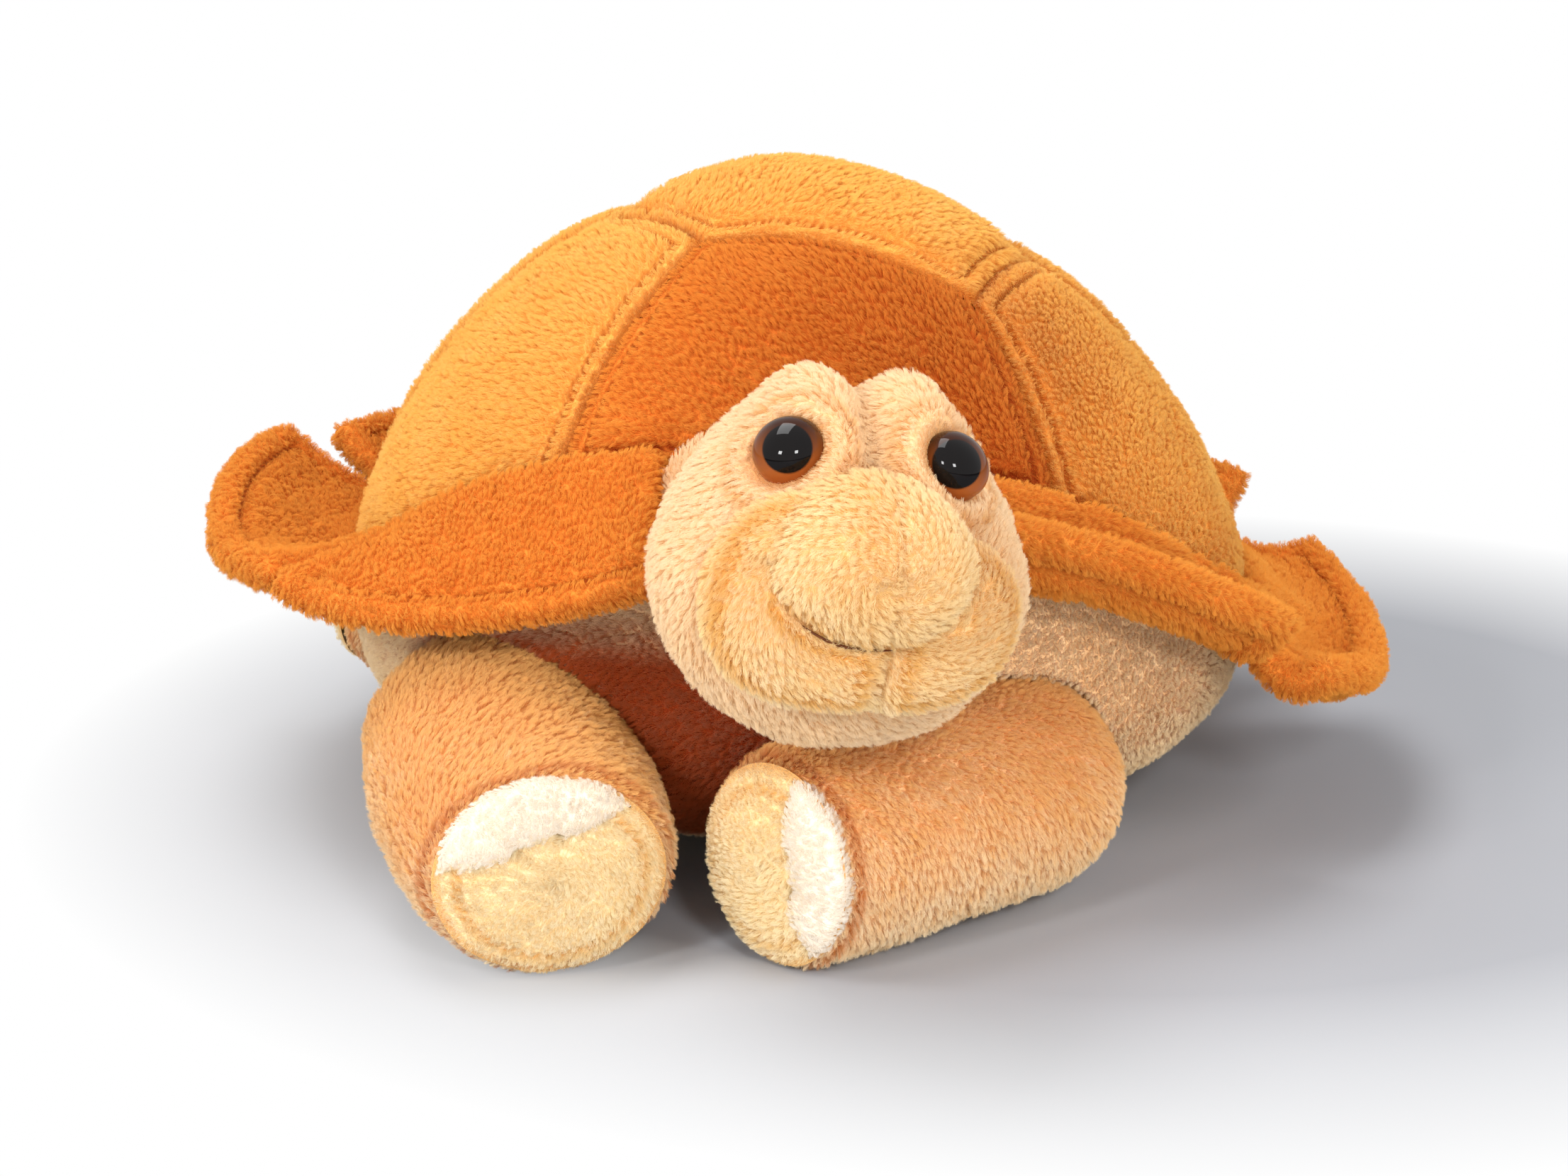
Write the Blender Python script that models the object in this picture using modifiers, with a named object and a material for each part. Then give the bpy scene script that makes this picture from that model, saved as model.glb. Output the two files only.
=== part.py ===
"""Plush turtle lying on its belly, its head turned to its left and its left front leg folded in.

The turtle faces -Y and +Z is up. Left and right are the turtle's own, so its left is +X.
The origin is on the table, in the middle of the flat patch that the belly rests on.
Compass angles are counted from the front, and are negative towards the turtle's right.
"""

import math

import bmesh
import bpy
from mathutils import Matrix, Vector

# Clearances
SOFT_GAP = 0.0004
FILL_GAP = 0.0010
DEEP_FILL_GAP = 0.0016
PANEL_GAP = 0.0008
FLAP_GAP = 0.0001
FLAP_ROOM = 0.0027
WASHER_GAP = 0.0014
EYE_FIT = 0.0003
SWING_ROOM = 0.0015
NECK_ROOM = 0.0009
SWING_LIFT_SHARE = 0.12
TABLE_GAP = 0.0006
STAND_DEPTH = 0.0005
OVERRUN = 0.010
WELD = 0.00001

# Plush and its seams
PLUSH = 0.0026
FLAP_THICKNESS = 0.0064
FLAP_LENGTH = 0.047

# Body: a low dome over a rounder belly, stuffed so that it leans to its left
SHELL_RADIUS = 0.1175
EQUATOR_HEIGHT = 0.058
CROWN_RISE = 0.1075
CROWN_SHIFT = 0.007
CROWN_DROP = 0.0125
SHELL_ROUNDNESS = 1.72
BELLY_ROUNDNESS = 2.7
CHEST_HOLLOW = 0.010
CHEST_HALF_ANGLE = 34.0
CHEST_LATITUDE = 8.0
CHEST_BAND = 16.0

# Rim seam: it arches over the neck
SEAM_LIFT = 0.002
SEAM_ARCH = 0.047
ARCH_HALF_ANGLE = 84.0
ARCH_POWER = 1.6

# Top scute: six sides
SCUTE_HALF_WIDTH = 0.055
SCUTE_HALF_FRONT = 0.035
SCUTE_HALF_DEPTH = 0.046

# Pellet bag
BAG_RADIUS = 0.052
BAG_HEIGHT = 0.012

# Neck: a collar on the chest round the ball of fill that the head turns on
NECK_HEIGHT = 0.090
NECK_SHIFT = 0.002
NECK_LENGTH = 0.0195
NECK_SETBACK = 0.0055
NECK_BALL_RADIUS = 0.024
NECK_TIP_HALF_WIDTH = 0.031
NECK_ROOT_HALF_WIDTH = 0.037

# Head
HEAD_HALF_WIDTH = 0.0422
HEAD_HALF_DEPTH = 0.040
HEAD_HALF_HEIGHT = 0.0398
HEAD_TAPER = 0.16
HEAD_SEAT = 0.0012
HEAD_LIFT = 0.0109
HEAD_YAW = 9.5
HEAD_ROLL = 7.5
BROW_RISE = 0.0085
BROW_SPREAD = 0.0160
BROW_WIDTH = 0.012
BROW_GROOVE = 0.003
SNOUT_HALF_WIDTH = 0.0220
SNOUT_HALF_DEPTH = 0.0220
SNOUT_HALF_HEIGHT = 0.0182
JAW_HALF_WIDTH = 0.0352
JAW_HALF_DEPTH = 0.0205
JAW_HALF_HEIGHT = 0.0200
SNOUT_SHARES = (-0.03, -0.96, 0.27)
JAW_SHARES = (0.00, -0.76, -0.08)
EYE_SHARES = (0.480, 0.725)

# Eyes
EYE_RADIUS = 0.008
EYE_DOME = 0.0062
EYE_BASE = 0.0016
EYE_SHANK_RADIUS = 0.0021
EYE_SHANK_LENGTH = 0.0095
WASHER_RADIUS = 0.0065
WASHER_THICKNESS = 0.0014

# Legs
FRONT_RIGHT_LEG_HALF_WIDTH = 0.0305
FRONT_LEFT_LEG_HALF_WIDTH = 0.029
FRONT_LEG_HALF_HEIGHT = 0.0265
FRONT_RIGHT_LEG_LENGTH = 0.077
FRONT_LEFT_LEG_LENGTH = 0.078
FRONT_RIGHT_SWELL = 0.0045
FRONT_LEFT_SWELL = 0.0015
HIND_LEG_HALF_WIDTH = 0.021
HIND_LEG_HALF_HEIGHT = 0.0195
HIND_LEG_LENGTH = 0.039
HIND_SWELL = 0.0020
HIND_RIGHT_LIFT = 0.0165
HIND_LEFT_LIFT = 0.0065

# Feet
PAD_BULGE = 0.0058
TOE_STRIP_RADIUS = 0.0042
TOE_STRIP_SHARE = 0.84
TOE_STRIP_ARC = 150.0

# Tail
TAIL_RADIUS = 0.0095
TAIL_LENGTH = 0.019
TAIL_HEIGHT = 0.030
TAIL_DROP = 0.004
TAIL_TIP_SHARE = 0.45

# Mesh steps
TURN_STEPS = 36
DOME_STEPS = 18
PANEL_STEPS = 6
FILL_STEPS = 24
FILL_RINGS = 12
HEAD_STEPS = 20
HEAD_RINGS = 14
HEAD_FILL_STEPS = 16
HEAD_FILL_RINGS = 10
LIMB_STEPS = 12
LIMB_RINGS = 10
STRIP_STEPS = 8
FLAP_COLUMNS = 8
FLAP_ROWS = 5

# Shoulders are in shares of the body's radius and of its widest ring's height. A sole's shares
# are of the shoulder's half width and half height. Swings are inwards, then outwards
LEGS = {
    "front_right": {
        "shoulder_shares": (-0.651, -0.7105, 0.600),
        "heading": 14.0,
        "length": FRONT_RIGHT_LEG_LENGTH,
        "half_width": FRONT_RIGHT_LEG_HALF_WIDTH,
        "half_height": FRONT_LEG_HALF_HEIGHT,
        "sole_shares": (0.93, 0.905),
        "swell": FRONT_RIGHT_SWELL,
        "foot_lift": TABLE_GAP,
        "toe_turn": 108.0,
        "swing": (1.0, 12.0),
    },
    "front_left": {
        "shoulder_shares": (0.4294, -0.8424, 0.483),
        "heading": -46.5,
        "length": FRONT_LEFT_LEG_LENGTH,
        "half_width": FRONT_LEFT_LEG_HALF_WIDTH,
        "half_height": FRONT_LEG_HALF_HEIGHT,
        "sole_shares": (0.82, 0.94),
        "swell": FRONT_LEFT_SWELL,
        "foot_lift": TABLE_GAP,
        "toe_turn": 8.0,
        "swing": (1.0, 12.0),
    },
    "hind_right": {
        "shoulder_shares": (-0.731, 0.3573, 0.465),
        "heading": -110.0,
        "length": HIND_LEG_LENGTH,
        "half_width": HIND_LEG_HALF_WIDTH,
        "half_height": HIND_LEG_HALF_HEIGHT,
        "sole_shares": (0.88, 0.87),
        "swell": HIND_SWELL,
        "foot_lift": HIND_RIGHT_LIFT,
        "toe_turn": 90.0,
        "swing": (8.0, 8.0),
    },
    "hind_left": {
        "shoulder_shares": (0.6127, 0.5448, 0.431),
        "heading": 140.0,
        "length": HIND_LEG_LENGTH,
        "half_width": HIND_LEG_HALF_WIDTH,
        "half_height": HIND_LEG_HALF_HEIGHT,
        "sole_shares": (0.88, 0.87),
        "swell": HIND_SWELL,
        "foot_lift": HIND_LEFT_LIFT,
        "toe_turn": 90.0,
        "swing": (8.0, 8.0),
    },
}

# Rim flaps: each runs from its stretch of the seam to an edge. The edge's start, middle and end
# lie outwards, sideways and upwards of the seam, in shares of the flap's length
FLAPS = {
    "front_right": {
        "seam": (-21.0, -62.0),
        "edge_shares": ((0.655, 0.14, -0.50), (0.745, 0.04, -0.62), (0.805, 0.06, -0.17)),
        "seam_slope": (-45.0, -30.0),
        "edge_slope": (-62.0, -12.0),
        "pull_shares": (0.75, 0.85),
    },
    "side_right": {
        "seam": (-63.0, -115.6),
        "edge_shares": ((0.795, 0.04, -0.11), (0.83, -0.06, 0.28), (0.825, 0.27, 0.38)),
        "seam_slope": (-28.0, -15.0),
        "edge_slope": (0.0, 45.0),
        "pull_shares": (0.80, 0.95),
    },
    "rear_right": {
        "seam": (-116.6, -179.4),
        "edge_shares": ((0.795, -0.24, 0.28), (0.765, 0.08, 0.28), (0.755, 0.03, 0.21)),
        "seam_slope": (-12.0, -12.0),
        "edge_slope": (42.0, 35.0),
        "pull_shares": (0.85, 0.95),
    },
    "front_left": {
        "seam": (18.0, 60.0),
        "edge_shares": ((0.715, 0.08, -0.04), (0.725, -0.06, -0.13), (0.635, -0.07, -0.18)),
        "seam_slope": (-56.0, -62.0),
        "edge_slope": (70.0, 50.0),
        "pull_shares": (1.50, 1.35),
    },
    "side_left": {
        "seam": (61.0, 115.0),
        "edge_shares": ((0.735, 0.06, -0.44), (0.80, 0.08, -0.30), (0.775, -0.30, -0.12)),
        "seam_slope": (-55.0, -36.0),
        "edge_slope": (55.0, 25.0),
        "pull_shares": (1.25, 0.95),
    },
    "rear_left": {
        "seam": (116.0, 179.4),
        "edge_shares": ((0.705, 0.36, 0.19), (0.745, -0.03, 0.11), (0.755, 0.00, 0.13)),
        "seam_slope": (-25.0, -14.0),
        "edge_slope": (50.0, 35.0),
        "pull_shares": (0.95, 0.95),
    },
}

COLOURS = {
    "shell_plush": (0.86, 0.36, 0.06),
    "front_plush": (0.72, 0.22, 0.03),
    "skin_plush": (0.90, 0.56, 0.28),
    "face_plush": (0.94, 0.70, 0.36),
    "toe_plush": (0.93, 0.86, 0.74),
    "stuffing": (0.93, 0.93, 0.91),
    "pellet_cloth": (0.80, 0.80, 0.78),
    "eye_gloss": (0.06, 0.025, 0.012),
    "washer_plastic": (0.85, 0.85, 0.83),
}
ROUGHNESS = {"eye_gloss": 0.05, "washer_plastic": 0.4}

for old in list(bpy.data.objects):
    bpy.data.objects.remove(old)

PARTS = bpy.data.collections.new("plush_turtle")
CUTTERS = bpy.data.collections.new("cutters")
for group in (PARTS, CUTTERS):
    bpy.context.scene.collection.children.link(group)


# Objects and meshes


def add(name, mesh, colour=None):
    """Links a mesh as a part with its own material, or as a cutter when it has no colour."""
    made = bpy.data.objects.new(name, mesh)
    if colour is None:
        CUTTERS.objects.link(made)
        made.hide_render = True
        made.display_type = "WIRE"
    else:
        PARTS.objects.link(made)
        material = bpy.data.materials.new(name + "_" + colour)
        material.use_nodes = True
        shader = material.node_tree.nodes["Principled BSDF"]
        shader.inputs["Base Color"].default_value = (*COLOURS[colour], 1.0)
        shader.inputs["Roughness"].default_value = ROUGHNESS.get(colour, 0.95)
        mesh.materials.append(material)
    mesh.shade_smooth()
    return made


def mesh_from(name, bm, closed=True):
    """Writes a bmesh out, with the faces of a closed one turned outwards."""
    if closed:
        bm.normal_update()
        bmesh.ops.recalc_face_normals(bm, faces=bm.faces)
    mesh = bpy.data.meshes.new(name)
    bm.to_mesh(mesh)
    bm.free()
    return mesh


def sheet(name, columns, rows, place, inside=None):
    """An open sheet: a grid whose points run from -1 to 1 both ways, moved by place(u, v)."""
    bm = bmesh.new()
    bmesh.ops.create_grid(bm, x_segments=columns, y_segments=rows, size=1.0)
    for vert in bm.verts:
        vert.co = place(vert.co.x, vert.co.y)
    mesh = mesh_from(name, bm, closed=False)
    if inside is not None:
        face = mesh.polygons[len(mesh.polygons) // 2]
        if face.normal.dot(face.center - inside) < 0.0:
            mesh.flip_normals()
    return mesh


def ball(name, columns, rings, place, drop=None, close=False):
    """A unit sphere whose directions are moved by place. drop names what is left open."""
    bm = bmesh.new()
    bmesh.ops.create_uvsphere(bm, u_segments=columns, v_segments=rings, radius=1.0)
    if drop is not None:
        gone = [vert for vert in bm.verts if drop(vert.co)]
        bmesh.ops.delete(bm, geom=gone, context="VERTS")
    for vert in bm.verts:
        vert.co = place(vert.co.copy())
    if close:
        bmesh.ops.holes_fill(bm, edges=bm.edges)
    return mesh_from(name, bm)


def thicken(made, thickness, offset):
    solid = made.modifiers.new("plush", "SOLIDIFY")
    solid.thickness = thickness
    solid.offset = offset
    solid.use_quality_normals = True


def cut(made, cutter):
    boolean = made.modifiers.new("cut_" + cutter.name, "BOOLEAN")
    boolean.operation = "DIFFERENCE"
    boolean.object = cutter


def turn_on(pieces, name, pivot):
    """Hangs moving pieces from an empty that stands on their joint's axis."""
    empty = bpy.data.objects.new(name, None)
    empty.location = pivot
    PARTS.objects.link(empty)
    for piece in pieces:
        piece.parent = empty
        piece.matrix_parent_inverse = Matrix.Translation(pivot).inverted()


def mix(low, high, share):
    return low + (high - low) * share


def way_round(direction):
    """A unit sphere's point as its distance from the pole's axis and its way round that axis."""
    ring = math.hypot(direction.x, direction.y)
    if ring == 0.0:
        return ring, Vector((0.0, 0.0))
    return ring, Vector((direction.x, direction.y)) / ring


# Body


def lean(point):
    share = point.z / (EQUATOR_HEIGHT + CROWN_RISE)
    drop = CROWN_DROP * point.x / SHELL_RADIUS * share
    return Vector((point.x + CROWN_SHIFT * share * share, point.y, point.z - drop))


def compass(angle, reach, height):
    turn = math.radians(angle)
    return Vector((reach * math.sin(turn), -reach * math.cos(turn), height))


def angle_of(direction):
    return math.degrees(math.atan2(direction.x, -direction.y))


def latitude_of(direction):
    return math.degrees(math.asin(max(-1.0, min(1.0, direction.z))))


def belly_height(reach, inset=0.0):
    """Height of the belly's skin at a distance from the middle, before the lean."""
    depth = EQUATOR_HEIGHT + STAND_DEPTH - inset
    share = min(reach / (SHELL_RADIUS - inset), 1.0)
    return EQUATOR_HEIGHT - depth * (1.0 - share**BELLY_ROUNDNESS) ** (1.0 / BELLY_ROUNDNESS)


def body_point(angle, latitude, inset=0.0):
    """A point of the body's skin: latitude 90 is the crown, 0 the widest ring, -90 the belly."""
    turn = math.radians(abs(latitude))
    if latitude >= 0.0:
        power = 2.0 / SHELL_ROUNDNESS
        reach = (SHELL_RADIUS - inset) * max(math.cos(turn), 0.0) ** power
        height = EQUATOR_HEIGHT + (CROWN_RISE - inset) * math.sin(turn) ** power
    else:
        reach = (SHELL_RADIUS - inset) * max(math.cos(turn), 0.0) ** (2.0 / BELLY_ROUNDNESS)
        height = belly_height(reach, inset)
    folded = (angle + 180.0) % 360.0 - 180.0
    chest = math.exp(-((folded / CHEST_HALF_ANGLE) ** 2))
    chest *= math.exp(-(((latitude - CHEST_LATITUDE) / CHEST_BAND) ** 2))
    return lean(compass(angle, reach - CHEST_HOLLOW * chest, height))


def body_normal(angle, latitude):
    """The body's outward direction in the upright plane of one compass angle."""
    across = body_point(angle, latitude + 1.0) - body_point(angle, latitude - 1.0)
    level = compass(angle, 1.0, 0.0)
    along = Vector((across.dot(level), across.z)).normalized()
    return level * along.y - Vector((0.0, 0.0, along.x))


def seam_latitude(angle):
    share = min(abs(angle) / ARCH_HALF_ANGLE, 1.0) ** ARCH_POWER
    arch = (1.0 + math.cos(math.pi * share)) / 2.0
    share = (SEAM_LIFT + SEAM_ARCH * arch) / CROWN_RISE
    return math.degrees(math.asin(share ** (SHELL_ROUNDNESS / 2.0)))


def scute_latitude(angle):
    """Latitude of the top scute's edge at one compass angle."""
    folded = min(abs(angle), 180.0 - abs(angle)) if abs(angle) <= 180.0 else abs(angle) - 180.0
    across = math.sin(math.radians(folded))
    along = math.cos(math.radians(folded))
    reach = SCUTE_HALF_DEPTH / along if folded < 89.0 else SCUTE_HALF_WIDTH
    if folded > SCUTE_CORNER:
        narrowing = (SCUTE_HALF_WIDTH - SCUTE_HALF_FRONT) / SCUTE_HALF_DEPTH
        reach = SCUTE_HALF_WIDTH / (across + narrowing * along)
    return math.degrees(math.acos((reach / SHELL_RADIUS) ** (SHELL_ROUNDNESS / 2.0)))


SCUTE_CORNER = math.degrees(math.atan2(SCUTE_HALF_FRONT, SCUTE_HALF_DEPTH))
SHELL_MIDDLE = Vector((0.0, 0.0, EQUATOR_HEIGHT))


def build_top_scute():
    def place(u, v):
        half = mix(SCUTE_HALF_WIDTH, SCUTE_HALF_FRONT, abs(v)) - PANEL_GAP / 2.0
        x = u * half
        y = v * (SCUTE_HALF_DEPTH - PANEL_GAP / 2.0)
        share = math.hypot(x, y) / SHELL_RADIUS
        rise = (1.0 - share**SHELL_ROUNDNESS) ** (1.0 / SHELL_ROUNDNESS)
        return lean(Vector((x, y, EQUATOR_HEIGHT + CROWN_RISE * rise)))

    mesh = sheet("top_scute", PANEL_STEPS, PANEL_STEPS, place, SHELL_MIDDLE)
    thicken(add("top_scute", mesh, "shell_plush"), PLUSH, -1.0)


def build_side_scute(name, start, end, colour):
    """A shell panel between two seams, from the top scute's edge down to the rim seam."""
    gap = math.degrees(PANEL_GAP / SHELL_RADIUS)

    def place(u, v):
        share = (u + 1.0) / 2.0
        angle = mix(start, end, share)
        low = seam_latitude(angle) + gap / 2.0
        latitude = mix(low, scute_latitude(angle) - gap / 2.0, (v + 1.0) / 2.0)
        inward = gap / math.cos(math.radians(latitude)) / 2.0
        return body_point(mix(start + inward, end - inward, share), latitude)

    mesh = sheet(name, PANEL_STEPS, PANEL_STEPS, place, SHELL_MIDDLE)
    thicken(add(name, mesh, colour), PLUSH, -1.0)


def build_shell():
    corner = SCUTE_CORNER
    build_top_scute()
    build_side_scute("front_scute", -corner, corner, "front_plush")
    build_side_scute("front_left_scute", corner, 90.0, "shell_plush")
    build_side_scute("rear_left_scute", 90.0, 180.0 - corner, "shell_plush")
    build_side_scute("rear_scute", 180.0 - corner, 180.0 + corner, "shell_plush")
    build_side_scute("rear_right_scute", corner - 180.0, -90.0, "shell_plush")
    build_side_scute("front_right_scute", -90.0, -corner, "shell_plush")


def ring_latitude(direction, angle):
    """Rings of a unit sphere, moved so that its equator follows the rim seam."""
    turn = latitude_of(direction)
    return mix(seam_latitude(angle), math.copysign(90.0, turn), abs(turn) / 90.0)


def build_belly_cover():
    gap = math.degrees(PANEL_GAP / SHELL_RADIUS)

    def place(direction):
        angle = angle_of(direction)
        highest = seam_latitude(angle) - gap * 1.6
        return body_point(angle, min(ring_latitude(direction, angle), highest))

    mesh = ball("belly_cover", TURN_STEPS, DOME_STEPS, place, lambda way: way.z > 0.01)
    belly = add("belly_cover", mesh, "skin_plush")
    thicken(belly, PLUSH, -1.0)
    return belly


def body_ball(name, columns, rings, inset):
    def place(direction):
        angle = angle_of(direction)
        return body_point(angle, ring_latitude(direction, angle), inset)

    return ball(name, columns, rings, place)


def bag_place(room):
    """A flat bag that lies on the belly's cover. With room it also opens down to the cover."""

    def place(direction):
        ring, _ = way_round(direction)
        reach = (BAG_RADIUS + room) * ring**0.7
        half = BAG_HEIGHT / 2.0 + (room if direction.z > 0.0 else room * 4.0)
        height = belly_height(reach, PLUSH + SOFT_GAP) + BAG_HEIGHT / 2.0
        height += math.copysign(abs(direction.z) ** 0.8, direction.z) * half
        return lean(compass(angle_of(direction), reach, height))

    return place


def floor_cutter():
    """A slab just below the table, to cut the belly's resting patch flat."""
    bm = bmesh.new()
    bmesh.ops.create_cube(bm, size=1.0)
    wide = 2.0 * SHELL_RADIUS
    for vert in bm.verts:
        vert.co = Vector((vert.co.x * wide, vert.co.y * wide, (vert.co.z - 0.5) * OVERRUN))
    return add("floor_cutter", mesh_from("floor_cutter", bm))


def build_torso(socket, collar):
    """Shell, belly and fill, with the neck's collar cut to sit on them."""
    build_shell()
    belly = build_belly_cover()
    fill = body_ball("body_stuffing", FILL_STEPS, FILL_RINGS, PLUSH + DEEP_FILL_GAP)
    stuffing = add("body_stuffing", fill, "stuffing")
    add("pellet_bag", ball("pellet_bag", 16, 8, bag_place(0.0)), "pellet_cloth")
    cut(stuffing, add("bag_room", ball("bag_room", 16, 8, bag_place(SOFT_GAP))))
    cut(collar, add("body_room", body_ball("body_room", TURN_STEPS, DOME_STEPS, -SOFT_GAP)))
    for piece in (collar, belly, stuffing):
        cut(piece, socket)
    cut(belly, floor_cutter())
    return belly, stuffing


# Neck and head

NECK_PIVOT = Vector((NECK_SHIFT, CHEST_HOLLOW - SHELL_RADIUS - NECK_LENGTH, NECK_HEIGHT))


def build_neck():
    """Returns the collar, and the cutter of the round socket that the ball turns in."""
    front = NECK_PIVOT + Vector((0.0, NECK_SETBACK, 0.0))
    root = front + Vector((-NECK_SHIFT, NECK_LENGTH + NECK_SETBACK, -NECK_SETBACK))

    def place(direction):
        ring, way = way_round(direction)
        share = (1.0 + math.copysign(abs(direction.z) ** 0.25, direction.z)) / 2.0
        half = mix(NECK_ROOT_HALF_WIDTH, NECK_TIP_HALF_WIDTH, share) * min(ring * 1.3, 1.0)
        return root.lerp(front, share) + Vector((way.x * half, 0.0, way.y * half))

    collar = add("neck_cover", ball("neck_cover", 18, 8, place), "skin_plush")
    room = NECK_BALL_RADIUS + NECK_ROOM
    socket = ball("neck_socket", 18, 10, lambda way: NECK_PIVOT + way * room)
    fill = ball("neck_stuffing", 18, 10, lambda way: NECK_PIVOT + way * NECK_BALL_RADIUS)
    turn_on([add("neck_stuffing", fill, "stuffing")], "neck_turn_axis", NECK_PIVOT)
    return collar, add("neck_socket", socket)


def head_frame():
    """The head's own axes: it faces -Y before it is turned and tipped."""
    turned = Matrix.Rotation(math.radians(HEAD_YAW), 4, "Z")
    tipped = Matrix.Rotation(math.radians(HEAD_ROLL), 4, "Y")
    ahead = turned @ Vector((0.0, HEAD_SEAT - HEAD_HALF_DEPTH, HEAD_LIFT))
    return Matrix.Translation(NECK_PIVOT + ahead) @ turned @ tipped


def head_width(rise):
    """The egg's half width, which grows narrower above its middle."""
    return HEAD_HALF_WIDTH * (1.0 - HEAD_TAPER * max(rise, 0.0))


def head_place(inset):
    """The head: an egg with two brow lobes and a groove between them."""
    frame = head_frame()

    def place(direction):
        x = direction.x * (head_width(direction.z) - inset)
        y = direction.y * (HEAD_HALF_DEPTH - inset)
        z = direction.z * (HEAD_HALF_HEIGHT - inset)
        lobe = math.exp(-(((abs(x) - BROW_SPREAD) / BROW_WIDTH) ** 2))
        groove = math.exp(-((2.0 * x / BROW_WIDTH) ** 2))
        z += max(direction.z, 0.0) ** 2 * (BROW_RISE * lobe - BROW_GROOVE * groove)
        return frame @ Vector((x, y, z))

    return place


def head_spot(shares):
    halves = (HEAD_HALF_WIDTH, HEAD_HALF_DEPTH, HEAD_HALF_HEIGHT)
    return Vector([share * half for share, half in zip(shares, halves)])


def lump(name, middle_shares, halves, columns, rings, grow=0.0):
    """A stuffed lobe of the face, as an egg in the head's axes."""
    frame = head_frame()
    middle = head_spot(middle_shares)

    def place(direction):
        return frame @ (middle + Vector([way * (half + grow) for way, half in zip(direction, halves)]))

    return ball(name, columns, rings, place)


def eye_frame(side):
    """An eye's seat: the point on the head, with the way that the eye looks as its own +Z."""
    across, up = EYE_SHARES
    ahead = math.sqrt(1.0 - across**2 - up**2)
    seat = head_spot((side * across, -ahead, up))
    seat.x = side * across * head_width(up)
    look = Vector(
        (
            side * across / head_width(up),
            -ahead / HEAD_HALF_DEPTH,
            up / HEAD_HALF_HEIGHT,
        )
    )
    turned = look.to_track_quat("Z", "Y").to_matrix().to_4x4()
    return head_frame() @ Matrix.Translation(seat) @ turned


def turned_piece(name, outline, frame, colour, steps):
    """A turned piece: its outline runs down its outer side, from top to bottom."""
    bm = bmesh.new()
    verts = [bm.verts.new((reach, 0.0, height)) for reach, height in outline]
    for upper, lower in zip(verts, verts[1:]):
        bm.edges.new((upper, lower))
    made = add(name, mesh_from(name, bm, closed=False), colour)
    made.matrix_world = frame
    screw = made.modifiers.new("turned", "SCREW")
    screw.steps = steps
    screw.render_steps = steps
    screw.use_merge_vertices = True
    screw.merge_threshold = WELD
    return made


def build_eye(name, side):
    frame = eye_frame(side)
    brow = SOFT_GAP + EYE_BASE
    turns = [math.radians(18.0 * step) for step in range(6)]
    dome = [(EYE_RADIUS * math.sin(turn), brow + EYE_DOME * math.cos(turn)) for turn in turns]
    shank = [
        (EYE_RADIUS, SOFT_GAP),
        (EYE_SHANK_RADIUS, SOFT_GAP),
        (EYE_SHANK_RADIUS, -EYE_SHANK_LENGTH),
        (0.0, -EYE_SHANK_LENGTH),
    ]
    eye = turned_piece(name, dome + shank, frame, "eye_gloss", 16)
    inside = -PLUSH - WASHER_GAP
    hole = EYE_SHANK_RADIUS + EYE_FIT
    ring = [
        (hole, inside),
        (WASHER_RADIUS, inside),
        (WASHER_RADIUS, inside - WASHER_THICKNESS),
        (hole, inside - WASHER_THICKNESS),
        (hole, inside),
    ]
    return [eye, turned_piece(name + "_washer", ring, frame, "washer_plastic", 12)]


def round_room(name, frame, radius, top, bottom):
    """A short cylinder in an eye's axes, to clear its shank, its base or its washer."""
    bm = bmesh.new()
    middle = Matrix.Translation((0.0, 0.0, (top + bottom) / 2.0))
    bmesh.ops.create_cone(
        bm,
        cap_ends=True,
        segments=16,
        radius1=radius + EYE_FIT,
        radius2=radius + EYE_FIT,
        depth=top - bottom,
        matrix=middle,
    )
    made = add(name, mesh_from(name, bm))
    made.matrix_world = frame
    return made


def build_face(outer):
    snout_halves = (SNOUT_HALF_WIDTH, SNOUT_HALF_DEPTH, SNOUT_HALF_HEIGHT)
    jaw_halves = (JAW_HALF_WIDTH, JAW_HALF_DEPTH, JAW_HALF_HEIGHT)
    snout = add("snout", lump("snout", SNOUT_SHARES, snout_halves, 16, 10), "face_plush")
    jaw = add("jaw", lump("jaw", JAW_SHARES, jaw_halves, 20, 10), "face_plush")
    room = add("snout_room", lump("snout_room", SNOUT_SHARES, snout_halves, 16, 10, SOFT_GAP))
    cut(snout, outer)
    cut(jaw, outer)
    cut(jaw, room)
    return [snout, jaw]


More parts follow.
